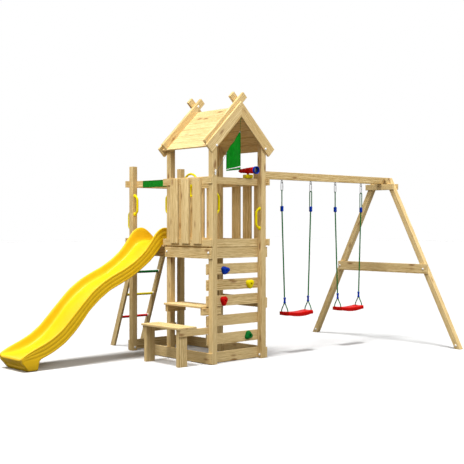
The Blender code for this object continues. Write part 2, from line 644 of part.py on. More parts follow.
def rope(name, x_top, x_low):
    """A snap hook, a loop, a length adjuster, the rope and its two ends to the seat."""
    at = (x_top, TRESTLE_Y, HOOK_Z)
    dx = x_low - x_top
    seat_z = SEAT_TOP - HOOK_Z
    z = dict(hook=-0.0054, hook_low=-HOOK_LOW, loop=0.005 - HOOK_LOW, adjust=-ADJUST[1],
             adjust_low=-ADJUST[0], sleeve=seat_z + SLEEVE[1], split=seat_z + SLEEVE[0],
             seat=seat_z + 2 * GAP)
    main = tube(name, [(0, 0, z["adjust"] - 0.02), (dx, 0, z["split"])], 0.0065, green_rope, at)
    helpers = [
        tube(f"{name}_hook", [(u, 0, v) for u, v in stadium(0.013, z["hook"], z["hook_low"])], 0.0040,
             steel, at, True, True, 1),
        tube(f"{name}_loop", [(0, u, v) for u, v in stadium(0.0135, z["loop"], z["adjust_low"] + 0.02, 3)],
             0.0055, green_rope, at, True, True, 1),
        board(f"{name}_adjuster", (x_top - 0.015, x_top + 0.015), (TRESTLE_Y - 0.024, TRESTLE_Y + 0.024),
              (HOOK_Z - ADJUST[0], HOOK_Z - ADJUST[1]), blue, 0.006, True),
        turned(f"{name}_sleeve", [(z["split"], 0), (z["split"], 0.010), (z["split"] + 0.010, 0.0165),
               (z["split"] + 0.024, 0.012), (z["split"] + 0.048, 0.012), (z["sleeve"] - 0.010, 0.0165),
               (z["sleeve"], 0.010), (z["sleeve"], 0)], "Z", (x_low, TRESTLE_Y, HOOK_Z), blue, True, 14),
        tube(f"{name}_ends", [(dx, -FORK, z["seat"]), (dx, -FORK, z["seat"] + 0.012), (dx, 0, z["split"] + 0.006),
             (dx, FORK, z["seat"] + 0.012), (dx, FORK, z["seat"])], 0.0055, green_rope, at, False, True, 1),
    ]
    return combine(main, helpers)


def swing(name, middle):
    pivot = bpy.data.objects.new(f"{name}_axis", None)
    pivot.location = Vector((middle, TRESTLE_Y, HOOK_Z)) + SHIFT
    part.objects.link(pivot)
    end = SEAT_L / 2
    top = [(-end, 0), (-end + 0.040, 0), (-0.110, -0.009), (0, -0.014), (0.110, -0.009), (end - 0.040, 0),
           (end, 0)]
    low = [(x, 1.4 * z - SEAT_H) for x, z in reversed(top)]
    top = top[:1] + flowing(top[1:-1], 2) + top[-1:]
    low = low[:1] + flowing(low[1:-1], 2) + low[-1:]
    seat = plate(f"{name}_seat", [(middle + x, SEAT_TOP + z) for x, z in top + low], "Y",
                 (TRESTLE_Y - SEAT_W / 2, TRESTLE_Y + SEAT_W / 2), red, 0.008, segments=2, angle=40)
    made = [seat]
    for side_name, s in (("left", -1), ("right", 1)):
        made.append(rope(f"{name}_rope_{side_name}", middle + s * HOOK_SPAN / 2, middle + s * ROPE_SPAN / 2))
    for obj in made:
        obj.parent = pivot
        obj.location -= pivot.location


swing("swing_near", SWING_X[0])
swing("swing_far", SWING_X[1])

# Green cloth strip on the slide-side top rail.
board("cloth_strip", (INNER - 0.0025, INNER - GAP - 0.0002), STRIP_Y,
      (RAIL_TOP_Z - 0.006, RAIL_TOP_Z + RAIL_H - 0.001), green_cloth, 0.0)

# Flag: a cloth hung from the gable by a short cord, its free corner tied down to a cleat.
hoist_x, hoist_z = MIDDLE_X - 0.016, RAFTER_LOW + MIDDLE_X - FLAG_DROP
fly_x = hoist_x - FLAG_W
FLAG = ((hoist_x, hoist_z), (hoist_x, hoist_z - FLAG_H), (fly_x, hoist_z - FLAG_H - 0.024),
        (fly_x, hoist_z - FLAG_SLANT))
FLAG_Y = -0.0150
bm = bmesh.new()
bmesh.ops.create_grid(bm, x_segments=14, y_segments=10, size=0.5)
for v in bm.verts:
    u, w = 0.5 - v.co.x, 0.5 - v.co.y
    x = FLAG[0][0] + u * (FLAG[3][0] - FLAG[0][0])
    high = FLAG[0][1] + u * (FLAG[3][1] - FLAG[0][1])
    low_z = FLAG[1][1] + u * (FLAG[2][1] - FLAG[1][1])
    v.co = (x - FLAG[0][0], 0.009 * math.sin(u * 9.0) * min(1, 2.5 * u) * min(1, 3 * (1 - u)),
            high + w * (low_z - high) - FLAG[0][1])
mesh = bpy.data.meshes.new("flag")
bm.to_mesh(mesh)
bm.free()
flag = keep("flag", mesh, (FLAG[0][0], FLAG_Y, FLAG[0][1]), green_cloth)
sheet = flag.modifiers.new("cloth thickness", "SOLIDIFY")
sheet.thickness = 0.002
sheet.offset = 0
hoist = tube("flag_hoist", [(-0.004, 0, -0.010), (-0.003, 0, 0.020),
             (0.012, 0, RAFTER_LOW + MIDDLE_X - 0.0076 - FLAG[0][1])], 0.003, green_cloth,
             (FLAG[0][0], FLAG_Y, FLAG[0][1]), False, True)
tie = (fly_x - POST / 2 + 0.006, FLAG[3][1] - CLEAT_Z[0] - 0.035)
line = tube("flag_line", [(0.0, -0.003, 0.020), (tie[0] * 0.47, 0.001, tie[1] * 0.58), (tie[0], 0.003, tie[1])],
            0.003, white, (POST / 2, FLAG_Y - 0.003, CLEAT_Z[0] + 0.040), False, True)
cleat = board("flag_cleat", (POST / 2 - 0.007, POST / 2 + 0.007), (-0.026, -GAP), CLEAT_Z, white, 0.003, True)
combine(flag, [hoist, line, cleat])
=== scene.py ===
import math
import random

import bmesh
import bpy
from mathutils import Matrix, Vector


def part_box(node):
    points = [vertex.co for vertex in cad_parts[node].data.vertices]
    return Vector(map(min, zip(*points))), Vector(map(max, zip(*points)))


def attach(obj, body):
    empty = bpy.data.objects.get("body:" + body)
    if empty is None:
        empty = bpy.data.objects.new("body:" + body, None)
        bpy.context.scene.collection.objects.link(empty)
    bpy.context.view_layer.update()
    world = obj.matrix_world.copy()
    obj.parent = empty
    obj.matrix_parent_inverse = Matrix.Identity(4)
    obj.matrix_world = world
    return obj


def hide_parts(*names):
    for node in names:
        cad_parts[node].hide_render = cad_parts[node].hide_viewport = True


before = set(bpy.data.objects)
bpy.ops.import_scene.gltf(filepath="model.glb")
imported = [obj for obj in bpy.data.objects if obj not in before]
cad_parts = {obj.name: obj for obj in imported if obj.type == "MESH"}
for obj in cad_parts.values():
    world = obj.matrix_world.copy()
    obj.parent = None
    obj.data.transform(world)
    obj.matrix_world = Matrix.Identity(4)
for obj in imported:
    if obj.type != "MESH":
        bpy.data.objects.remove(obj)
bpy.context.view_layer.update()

# Where the photo was taken: a level camera at eye height, about ten metres off the tower's front left corner.
# The corner is the outer foot of the front left post, and everything is set out from it, in metres.
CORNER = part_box("post_front_left")[0]


def spot(x, y, z):
    return CORNER + Vector((x, y, z))


def placed(name, data):
    """An object made of its data and put in the scene."""
    made = bpy.data.objects.new(name, data)
    bpy.context.scene.collection.objects.link(made)
    return made


camera = placed("camera", bpy.data.cameras.new("camera"))
camera.location = spot(-6.4835, -7.5071, 1.5599)
camera.rotation_euler = (math.radians(90), 0, math.radians(-42.0535))
camera.data.lens = 69.785
camera.data.sensor_width = 36
camera.data.shift_y = -0.01817
camera.data.clip_end = 200
bpy.context.scene.camera = camera
bpy.context.scene.view_settings.view_transform = "Standard"


# The studio: a matt white floor, a white surround, three distant lamps and two soft boxes. The strongest
# lamp is nearly overhead, and the soft boxes hang high on the slide's side and in front of the swings.
class Finish:
    """The nodes of a material or of the surround, and what feeds them."""

    def __init__(self, owner):
        owner.use_nodes = True
        self.owner, self.tree = owner, owner.node_tree

    def feed(self, node, inputs):
        """Sets each input to its value, or links it to an output. A node stands for its first output."""
        for key, given in inputs.items():
            if isinstance(given, bpy.types.Node):
                given = given.outputs[0]
            if isinstance(given, bpy.types.NodeSocket):
                self.tree.links.new(given, node.inputs[key])
            else:
                node.inputs[key].default_value = given
        return node

    def add(self, kind, inputs, **settings):
        node = self.tree.nodes.new(f"ShaderNode{kind}")
        for key, value in settings.items():
            setattr(node, key, value)
        return self.feed(node, inputs)


surround = bpy.data.worlds.new("white surround")
bpy.context.scene.world = surround
sky = Finish(surround)
ray = sky.add("LightPath", {}).outputs
seen = sky.add("Math", {0: ray["Is Camera Ray"], 1: ray["Is Glossy Ray"]}, operation="MAXIMUM")
lit = sky.feed(sky.tree.nodes["Background"], {"Color": (1.0, 0.98, 0.95, 1), "Strength": 0.09})
shown = sky.add("Background", {"Color": (1, 1, 1, 1)})
sky.feed(sky.tree.nodes["World Output"], {"Surface": sky.add("MixShader", {0: seen, 1: lit, 2: shown})})


def lamp(name, kind, towards, at=(0, 0, 0), **settings):
    """A studio lamp that shines the way given."""
    data = bpy.data.lights.new(name, kind)
    for key, value in settings.items():
        setattr(data, key, value)
    made = placed(name, data)
    made.location = at
    made.rotation_euler = Vector(towards).to_track_quat("-Z", "Y").to_euler()


for name, towards, strength, spread in (("key lamp", (0.18, 0.05, -0.98), 3.2, 15),
                                        ("side lamp", (0.74, 0.14, -0.66), 0.7, 22),
                                        ("fill lamp", (0.16, 0.78, -0.6), 0.75, 30)):
    lamp(name, "SUN", towards, energy=strength, angle=math.radians(spread))
for name, at, size, aim, power in (("side soft box", (-2.6, 0.5, 4.0), (1.6, 1.6), (0, 0.5, 1.2), 60),
                                   ("front soft box", (1.7, -3.2, 4.0), (6.0, 1.2), (1.7, 0.3, 1.2), 98)):
    lamp(name, "AREA", spot(*aim) - spot(*at), spot(*at), shape="RECTANGLE", size=size[0], size_y=size[1],
         energy=power)

sheet = bmesh.new()
bmesh.ops.create_grid(sheet, x_segments=8, y_segments=8, size=60)
ground = bpy.data.meshes.new("floor")
sheet.to_mesh(ground)
sheet.free()
floor = placed("floor", ground)
floor.location = (0, 0, -0.001)
paint = Finish(bpy.data.materials.new("white floor"))
paint.tree.nodes.remove(paint.tree.nodes["Principled BSDF"])
tone = paint.add("MapRange", {"Value": paint.add("LightPath", {}).outputs["Is Camera Ray"],
                              "To Min": 0.22, "To Max": 0.74})
paint.feed(paint.tree.nodes["Material Output"], {"Surface": paint.add("BsdfDiffuse", {"Color": tone})})
ground.materials.append(paint.owner)


# The uprights: six planed pine posts, 70 mm square. The two by the ladder are sawn level at 2.26 m;
# the other four carry the roof and are sawn to its slope. Pine shows long grain, rings and a few knots.
def surface(name):
    """A new material in the making, and its shader."""
    made = Finish(bpy.data.materials.new(name))
    return made, made.tree.nodes["Principled BSDF"]


def on_piece(finish):
    """The place on the piece, measured along its own sides."""
    return finish.add("TexCoord", {}).outputs["Object"]


def noise(finish, where, scale, detail, rough=0.5):
    return finish.add("TexNoise", {"Vector": where, "Scale": scale, "Detail": detail, "Roughness": rough})


def ranged(finish, value, to, start=(0, 1)):
    """The value carried over from one range to another."""
    return finish.add("MapRange", {"Value": value, "From Min": start[0], "From Max": start[1],
                                   "To Min": to[0], "To Max": to[1]})


def blended(finish, share, a, b, colour=False):
    """Two numbers or two colours mixed by share."""
    first, result = (6, 2) if colour else (2, 0)
    return finish.add("Mix", {0: share, first: a, first + 1: b},
                      data_type="RGBA" if colour else "FLOAT").outputs[result]


def shade(tint, by, lift=0):
    """The tint made darker or lighter."""
    return [min(1, c * by + lift) for c in tint]


def coloured(finish, share, *stops):
    """A colour that runs from one stop to the other. Each stop is a place and a tint."""
    ramp = finish.add("ValToRGB", {0: share})
    for mark, (place, tint) in zip(ramp.color_ramp.elements, stops):
        mark.position, mark.color = place, (*tint, 1)
    return ramp


def bumped(finish, face, height, strength, depth):
    bump = finish.add("Bump", {"Height": height, "Strength": strength, "Distance": depth})
    finish.feed(face, {"Normal": bump})


def pine(name, pale, deep, knot):
    """Planed softwood, its grain along each piece's own X and its rings round a far-off heart."""
    wood, face = surface(name)
    where = on_piece(wood)

    def stretched(*scale):
        return wood.add("Mapping", {"Vector": where, "Scale": scale})

    rings = wood.add("TexWave", {"Vector": stretched(0.1, 1, 1), "Scale": 34, "Distortion": 5.5, "Detail": 2,
                                 "Detail Scale": 1.6}, wave_type="RINGS", rings_direction="X").outputs["Fac"]
    fibres = noise(wood, stretched(7, 420, 420), 1, 3, 0.55)
    streaks = noise(wood, stretched(1.1, 34, 34), 1, 3, 0.55)
    patches = noise(wood, stretched(0.5, 3.2, 3.2), 1, 2, 0.55)
    grain = blended(wood, 0.42, blended(wood, 0.45, rings, streaks), blended(wood, 0.68, fibres, patches))
    board = coloured(wood, grain, (0.36, pale), (0.68, deep))
    hearts = wood.add("TexVoronoi", {"Vector": stretched(2.9, 9.0, 9.0), "Scale": 1})
    knotted = blended(wood, ranged(wood, hearts, (0, 0.75), (0.19, 0.07)), board, (*knot, 1), True)
    # The colour is made paler where the normal turns at the rounded edges.
    eased = wood.add("Bevel", {"Radius": 0.004}, samples=4)
    flat = wood.add("NewGeometry", {}).outputs["Normal"]
    turn = wood.add("VectorMath", {0: eased, 1: flat}, operation="DOT_PRODUCT").outputs["Value"]
    paled_edges = blended(wood, ranged(wood, turn, (0, 0.35), (0.995, 0.9)), knotted, (*shade(pale, 1.04), 1), True)
    wood.feed(face, {"Base Color": paled_edges, "Roughness": ranged(wood, fibres, (0.52, 0.78)),
                     "Specular IOR Level": 0.06})
    bumped(wood, face, grain, 0.35, 0.0008)
    return wood.owner


fresh_pine = pine("planed pine", (0.83, 0.64, 0.326), (0.49, 0.318, 0.111), (0.25, 0.105, 0.035))
saws = random.Random(11)


def piece(name, bm, material, body="tower", node=None, smooth=True, crisp=None, stand=None):
    """A piece made from mesh code, riding on its body and the CAD node it replaces.
    Edges that turn by more than crisp degrees stay sharp, and stand says where it stands."""
    mesh = bpy.data.meshes.new(name)
    bm.to_mesh(mesh)
    bm.free()
    for polygon in mesh.polygons:
        polygon.use_smooth = smooth
    if crisp:
        mesh.set_sharp_from_angle(angle=math.radians(crisp))
    mesh.materials.append(material)
    made = placed(name, mesh)
    if stand is not None:
        made.matrix_world = stand
    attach(made, body)
    if node:
        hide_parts(node)
    return made


def timber(name, start, end, width, thick, broad, cuts=(), ease=0.003, node=None):
    """A sawn and planed length from start to end. width is measured along broad, thick across it.
    Each cut is a point and the way off the end that it saws away."""
    start, end, broad = Vector(start), Vector(end), Vector(broad)
    middle, length = (start + end) / 2, (end - start).length
    along = (end - start).normalized()
    across = (broad - along * along.dot(broad)).normalized()
    inward = Matrix((along, across, along.cross(across)))
    bm = bmesh.new()
    bmesh.ops.create_cube(bm, size=1)
    for v in bm.verts:
        v.co = Vector((v.co.x * length, v.co.y * width, v.co.z * thick))
    for point, way in cuts:
        bmesh.ops.bisect_plane(bm, geom=[*bm.verts, *bm.edges, *bm.faces], clear_outer=True,
                               plane_co=inward @ (Vector(point) - middle), plane_no=inward @ Vector(way))
        bmesh.ops.holes_fill(bm, edges=bm.edges)
    bmesh.ops.bevel(bm, geom=bm.edges, offset=ease, segments=2, profile=0.6, affect="EDGES")
    bmesh.ops.recalc_face_normals(bm, faces=bm.faces)
    heart = Vector((saws.uniform(-4, 4), saws.uniform(0.05, 0.16), saws.uniform(-0.16, 0.16)))
    bmesh.ops.translate(bm, verts=bm.verts, vec=heart)
    stand = Matrix.Translation(middle) @ inward.transposed().to_4x4() @ Matrix.Translation(-heart)
    return piece(name, bm, fresh_pine, node=node, smooth=False, stand=stand)


def squared(name, low, high, **more):
    """A straight timber filling the box between two corners, its grain along the longest side."""
    low, high = Vector(low), Vector(high)
    size, middle = high - low, (low + high) / 2
    order = sorted(range(3), key=lambda i: -size[i])
    reach = Vector([size[i] / 2 if i == order[0] else 0 for i in range(3)])
    broad = Vector([1 if i == order[1] else 0 for i in range(3)])
    return timber(name, middle - reach, middle + reach, size[order[1]], size[order[2]], broad, **more)


# The battens' lower faces lie on the line z = x + BATTEN_LINE, and the roof boards' on z = x + ROOF_LINE.
BATTEN_LINE = 2.478
ROOF_THICK = 0.02
ROOF_LINE = BATTEN_LINE - ROOF_THICK * math.sqrt(2)
for post in ("front_left", "front_right", "middle_left", "middle_right"):
    low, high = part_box(f"post_{post}")
    side = 1 if "right" in post else -1
    sawn = [(Vector((low.x if side < 0 else high.x, low.y, CORNER.z + ROOF_LINE - 0.001)), (side, 0, 1))]
    squared(f"upright_{post}", low, high + Vector((0, 0, 0.02)), cuts=sawn, node=f"post_{post}")
for post in ("rear_left", "rear_right"):
    squared(f"upright_{post}", *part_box(f"post_{post}"), node=f"post_{post}")

# The front: nine pine boards nailed on the back of the two front posts. The five in the middle are for
# climbing, and the two at deck height are the deck's edge and a toe board.
BOARD = 0.12
for node in ("base_board_front", *(f"climbing_board_{i}" for i in range(1, 6)), "top_rail_front"):
    squared(f"front_{node}", *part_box(node), node=node)
low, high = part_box("deck_edge_front")
squared("front_deck_edge", low, (high.x, high.y, low.z + BOARD), node="deck_edge_front")
squared("front_toe_board", (low.x, low.y, low.z + BOARD + 0.004), high)

# The other sides: base boards near the ground, deck-edge boards under the deck, and a rail over the slide.
# They are pine too, nailed or bolted to the outside of the posts.
for node in ("base_board_left", "deck_edge_left", "base_board_right", "deck_edge_right",
             "side_board_right", "base_board_rear", "deck_edge_rear", "top_rail_slide"):
    squared(f"side_{node}", *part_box(node), node=node)


# Slat railings: two thin pine rails on the outside of the posts, and broad upright slats screwed on them.
# The screws are small countersunk heads, two at each crossing.
def joined(bm, rows):
    """Faces between each row of points and the next, all the way round. A row can be one point, a tip."""
    for a, b in zip(rows, rows[1:]):
        for i in range(max(len(a), len(b))):
            j = i + 1
            corners = dict.fromkeys((a[i % len(a)], a[j % len(a)], b[j % len(b)], b[i % len(b)]))
            if len(corners) > 2:
                bm.faces.new(list(corners))


def turned(profile, point, way, steps=20, oval=(1, 1)):
    """A round piece of (height, radius) pairs, with its foot at the point and its axis along the way given.
    oval makes it broader or narrower across."""
    bm = bmesh.new()
    turns = [math.tau * i / steps for i in range(steps)]
    joined(bm, [[bm.verts.new((radius * math.cos(a), radius * math.sin(a), height))
                 for a in (turns if radius else [0])] for height, radius in profile])
    bmesh.ops.recalc_face_normals(bm, faces=bm.faces)
    stand = Matrix.Translation(point) @ Vector(way).to_track_quat("Z", "Y").to_matrix().to_4x4()
    bmesh.ops.transform(bm, matrix=stand @ Matrix.Diagonal((*oval, 1, 1)), verts=bm.verts)
    return bm


def gathered(name, parts, material, body="tower", node=None):
    """One piece made of several meshes, each in its place."""
    whole = bmesh.new()
    for bm in parts:
        mesh = bpy.data.meshes.new("part")
        bm.to_mesh(mesh)
        bm.free()
        whole.from_mesh(mesh)
        bpy.data.meshes.remove(mesh)
    return piece(name, whole, material, body, node, crisp=40)


def metal(name, tint, rough):
    """Plated steel: fine scratches and a little dulling."""
    plate, face = surface(name)
    cloud = noise(plate, on_piece(plate), 160, 4)
    plate.feed(face, {"Metallic": 1, "Base Color": coloured(plate, cloud, (0, shade(tint, 0.75)), (1, tint)),
                      "Roughness": ranged(plate, cloud, (rough * 0.7, rough * 1.3))})
    return plate.owner


screw_steel = metal("yellow zinc screws", (0.62, 0.52, 0.3), 0.4)
SCREW = [(-0.002, 0.0), (-0.002, 0.0042), (0.0004, 0.0046), (0.0008, 0.0036), (0.0002, 0.0016), (0.0001, 0)]
RAIL_FACE, SLAT_FACE = 0.02, 0.0415
SLAT_WIDE = 0.14
SLAT_LOW, SLAT_HIGH = CORNER.z + 1.333, CORNER.z + 2.073


def screws(name, places, way):
    gathered(name, [turned(SCREW, p, way, 10) for p in places], screw_steel)


def railing(name, node, out, run, starts, along):
    """Rails first, then a slat at each start. out is the way off the posts and along the rails' axis.
    run and starts are measured from the tower's corner, and the two faces off the posts."""
    low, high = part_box(node)
    out = Vector(out)
    depth = [i for i in range(3) if out[i]][0]
    inner = (low if out[depth] > 0 else high)[depth]

    def filled(from_to, near_far, bottom_top):
        corners = [Vector((0, 0, z)) for z in bottom_top]
        for corner, place, off in zip(corners, from_to, sorted(inner + out[depth] * d for d in near_far)):
            corner[along], corner[depth] = CORNER[along] + place, off
        return corners

    rails = [(low.z, low.z + 0.078), (high.z - 0.08, high.z)]
    for number, heights in enumerate(rails):
        squared(f"{name}_rail_{number}", *filled(run, (0, RAIL_FACE), heights), node=None if number else node)
    heads = []
    for number, start in enumerate(starts):
        squared(f"{name}_slat_{number}", *filled((start, start + SLAT_WIDE), (RAIL_FACE, SLAT_FACE),
                                                 (SLAT_LOW, SLAT_HIGH)))
        for bottom, top in rails:
            for step in (0.03, 0.11):
                head = Vector((0, 0, (bottom + top) / 2))
                head[along] = CORNER[along] + start + step
                head[depth] = inner + out[depth] * SLAT_FACE
                heads.append(head)
    screws(f"{name}_screws", heads, out)


railing("left_railing", "slat_panel_left", (-1, 0, 0), (0, 0.866), (0.161, 0.364, 0.566), 1)
railing("right_railing", "slat_panel_right", (1, 0, 0), (-0.046, 1.57),
        (0.086, 0.281, 0.476, 0.95, 1.145, 1.34), 1)
railing("ladder_railing", "slat_panel_rear", (0, 1, 0), (-0.046, 0.82), (0.64,), 0)

# The deck: twelve pine planks laid side to side on two joists, 5 mm apart.
# The planks at the middle and rear posts are cut shorter, to fit between them. A hair keeps pieces apart.
POST, BAY, HAIR = 0.07, 0.75, 0.0003
low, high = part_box("deck")
PLANKS, PLANK_GAP = 12, 0.005
for side, x in (("left", POST + HAIR), ("right", 0.7277)):
    squared(f"joist_{side}", (CORNER.x + x, low.y, low.z), (CORNER.x + x + 0.022, high.y, low.z + BOARD),
            node="deck" if side == "left" else None)
pitch = (high.y - low.y + PLANK_GAP) / PLANKS
for number in range(PLANKS):
    start = low.y + number * pitch
    end = start + pitch - PLANK_GAP
    sides = (low.x, high.x)
    if any(start < CORNER.y + p + POST + 0.001 and end > CORNER.y + p - 0.001 for p in (BAY, 2 * BAY)):
        sides = (CORNER.x + POST + 2 * HAIR, CORNER.x + BAY - 2 * HAIR)
    squared(f"deck_plank_{number}", (sides[0], start, high.z - 0.02), (sides[1], end, high.z))

# The roof: six pine boards to a slope, a batten on edge at each end of each slope whose tops cross over
# the ridge, and a pair of broad rafters outside each gable, mitred where they meet.
SLOPE = math.sqrt(0.5)
RIDGE_X = 0.41
EAVES_X = -0.06
ROOF_BOARDS = 6
BATTEN_WIDE, BATTEN_THICK = 0.08, 0.037
CROSSING = BATTEN_THICK + 0.001
RAFTER_LINE, RAFTER_WIDE, RAFTER_THICK = 2.36, 0.1237, 0.03
GABLE_FRONT, GABLE_REAR = -HAIR - RAFTER_THICK, BAY + POST + HAIR


def roof_piece(name, side, x0, x1, line, height, y0, y1, across=False, **more):
    """A piece lying up a slope. Its lower face is on z = x + line, and height is its size off the slope.
    The right slope mirrors the left one about the ridge. across turns its grain along the roof."""
    off = Vector((side * SLOPE, 0, SLOPE)) * height / 2
    y = (y0 + y1) / 2
    a, b = (spot(x if side < 0 else 2 * RIDGE_X - x, y, x + line) + off for x in (x0, x1))
    if across:
        middle, half = (a + b) / 2, Vector((0, (y1 - y0) / 2, 0))
        timber(name, middle - half, middle + half, (b - a).length, height, b - a, ease=0.002, **more)
    else:
        timber(name, a, b, height, y1 - y0, off, **more)


for side, word in ((-1, "left"), (1, "right")):
    step = (RIDGE_X - EAVES_X) / ROOF_BOARDS
    for number in range(ROOF_BOARDS):
        x0 = EAVES_X + number * step
        last = number == ROOF_BOARDS - 1
        roof_piece(f"roof_{word}_board_{number}", side, x0 + 0.0141, x0 + 0.0141 + step - 0.002 + 0.02 * last,
                   ROOF_LINE, ROOF_THICK, HAIR, BAY + POST - HAIR, across=True,
                   cuts=[(spot(RIDGE_X + side * HAIR, 0, 0), (-side, 0, 0))] * last,
                   node=None if number else f"roof_slope_{word}")
    for y0, place in ((HAIR, "front"), (BAY + POST - HAIR - BATTEN_THICK - CROSSING, "rear")):
        y0 += CROSSING * (side > 0)
        roof_piece(f"roof_{word}_batten_{place}", side, EAVES_X, 0.5215, BATTEN_LINE, BATTEN_WIDE,
                   y0, y0 + BATTEN_THICK)
    for y0, place in ((GABLE_FRONT, "front"), (GABLE_REAR, "rear")):
        roof_piece(f"roof_{word}_rafter_{place}", side, -0.0225, 0.52, RAFTER_LINE, RAFTER_WIDE,
                   y0, y0 + RAFTER_THICK, cuts=[(spot(RIDGE_X + side * 0.0002, 0, 0), (-side, 0, 0))],
                   node=f"rafters_{place}" if side < 0 else None)

# The bench: two pine legs on the ground, two bearers that run in between the posts, and two seat boards.
# The boards are screwed down on the bearers, four screws to a board.
BOARD_DEPTH = 0.022
low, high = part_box("bench")
y_front, y_rear = CORNER.y + POST + HAIR, CORNER.y + BAY - HAIR
leg_x = (CORNER.x - 0.4, CORNER.x - 0.28)
under = high.z - BOARD_DEPTH - HAIR
for word, y, bearer, leg in (("front", y_front, (0, 0.0265), (0.0268, 0.0717)),
                             ("rear", y_rear, (-0.0265, 0), (-0.0717, -0.0268))):
    squared(f"bench_bearer_{word}", (leg_x[0], y + bearer[0], CORNER.z + 0.3325),
            (CORNER.x + POST, y + bearer[1], under), node="bench" if word == "front" else None)
    squared(f"bench_leg_{word}", (leg_x[0], y + leg[0], 0), (leg_x[1], y + leg[1], under))
for word, x0 in (("outer", low.x), ("inner", low.x + 0.13)):
    squared(f"bench_seat_{word}", (x0, low.y, high.z - BOARD_DEPTH), (x0 + BOARD, high.y, high.z))
screws("bench_screws", [Vector((low.x + x, y, high.z)) for x in (0.03, 0.09, 0.16, 0.22)
                        for y in (y_front + 0.018, y_rear - 0.018)], (0, 0, 1))

# The table: two pine bearers through the gap in the climbing boards, and two boards on top of them.
# It is screwed together as the bench is.
low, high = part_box("table")
BEARER = 0.0497
under = high.z - BOARD_DEPTH - HAIR
for word, y0 in (("front", low.y), ("rear", high.y - BEARER)):
    squared(f"table_bearer_{word}", (low.x + 0.025, y0, low.z), (high.x, y0 + BEARER, under),
            node="table" if word == "front" else None)
for word, x0, x1 in (("outer", low.x, low.x + 0.142), ("inner", low.x + 0.148, high.x)):
    squared(f"table_board_{word}", (x0, low.y + BOARD_DEPTH + HAIR, high.z - BOARD_DEPTH), (x1, high.y, high.z))
screws("table_screws", [Vector((low.x + x, y, high.z)) for x in (0.04, 0.11, 0.18, 0.25)
                        for y in (low.y + 0.036, high.y - 0.025)], (0, 0, 1))

# The ladder: two leaning pine stringers, cut upright against the deck edge and level on the ground,
# with three coloured bars between them that sit in white sockets.
LEAN = 0.386
STRINGER_WIDE, STRINGER_THICK = 0.073, 0.032
up = Vector((0, -LEAN, 1)).normalized()
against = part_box("deck_edge_rear")[1].y + HAIR
for word in ("left", "right"):
    low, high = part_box(f"ladder_stringer_{word}")
    x = (low.x + high.x) / 2
    foot = Vector((x, high.y - 0.0391, 0))
    cuts = [((x, 0, 0), (0, 0, -1)), ((x, against, 0), (0, -1, 0)), ((x, 0, high.z), (0, 0, 1))]
    timber(f"ladder_stringer_piece_{word}", foot - up * 0.08, foot + up * 1.52, STRINGER_WIDE, STRINGER_THICK,
           (0, 1, LEAN), cuts=cuts, node=f"ladder_stringer_{word}")


def moulded(name, tint, rough=0.3, gloss=0.04):
    """Coloured plastic from a mould: faint mottling, edges painted paler, a soft gloss and fine orange peel."""
    plastic, face = surface(name)
    where = on_piece(plastic)
    cloud = noise(plastic, where, 9, 5)
    mottled = coloured(plastic, cloud, (0.25, shade(tint, 0.9)), (0.7, tint))
    # Outward edges are made paler, by how sharply the surface turns there.
    edge = ranged(plastic, plastic.add("NewGeometry", {}).outputs["Pointiness"], (0, 0.22), (0.53, 0.66))
    plastic.feed(face, {"Base Color": blended(plastic, edge, mottled, (*shade(tint, 1, 0.1), 1), True),
                        "Roughness": ranged(plastic, cloud, (rough * 0.8, rough * 1.35)),
                        "Specular IOR Level": gloss})
    bumped(plastic, face, noise(plastic, where, 420, 2), 0.12, 0.0005)
    return plastic.owner


lemon_plastic = moulded("lemon moulding", (0.88, 0.72, 0.004))
red_plastic = moulded("red moulding", (0.62, 0.006, 0.004), 0.42)
green_plastic = moulded("green moulding", (0.004, 0.165, 0.025))
white_plastic = moulded("white moulding", (0.86, 0.86, 0.84), 0.38)


def both_ends(half, span=0, waist=()):
    """A round profile that is the same at both ends. span is its lowest and its highest height, added."""
    return [*half, *waist, *((span - height, radius) for height, radius in half[::-1])]


RUNG = both_ends([(-0.2135, 0), (-0.2135, 0.0148), (-0.213, 0.0155)])
SOCKET = [(0, 0), (0, 0.021), (0.002, 0.0222), (0.006, 0.0222), (0.008, 0.0212), (0.0105, 0.0195),
          (0.012, 0.0175), (0.012, 0.0157)]
sockets = []
for node, plastic, slot in (("rung_low", red_plastic, "red_plastic"),
                            ("rung_middle", lemon_plastic, "yellow_plastic"),
                            ("rung_high", green_plastic, "green_plastic")):
    low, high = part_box(node)
    middle = (low + high) / 2
    gathered(f"{node}_bar", [turned(RUNG, middle, (1, 0, 0))], plastic, node=node)
    sockets += [turned(SOCKET, (low.x, middle.y, middle.z), (1, 0, 0)),
                turned(SOCKET, (high.x, middle.y, middle.z), (-1, 0, 0))]
gathered("rung_sockets", sockets, white_plastic)

# The bolts: galvanised coach bolts whose heads are under domed white caps, where timbers cross.
# Each row of caps below is on one side of the tower or the roof.
CAP = [(-0.001, 0), (-0.001, 0.0135), (0.0015, 0.0142), (0.004, 0.0138), (0.007, 0.0115), (0.0088, 0.007),
       (0.0092, 0)]
BOLT_HIGH, BOLT_LOW, BOLT_MIDDLE, BOLT_FOOT, BOLT_RAFTER, BOLT_RIDGE = 1.236, 0.06, 0.64, 0.04, 2.425, 2.957
MIDDLES = [POST / 2 + BAY * post for post in range(3)]
LEFT_FACE, RIGHT_FACE, LADDER_FACE = -0.0223, 0.8423, 1.5925


def caps(name, places, way):
    gathered(name, [turned(CAP, spot(*p), way) for p in places], white_plastic)


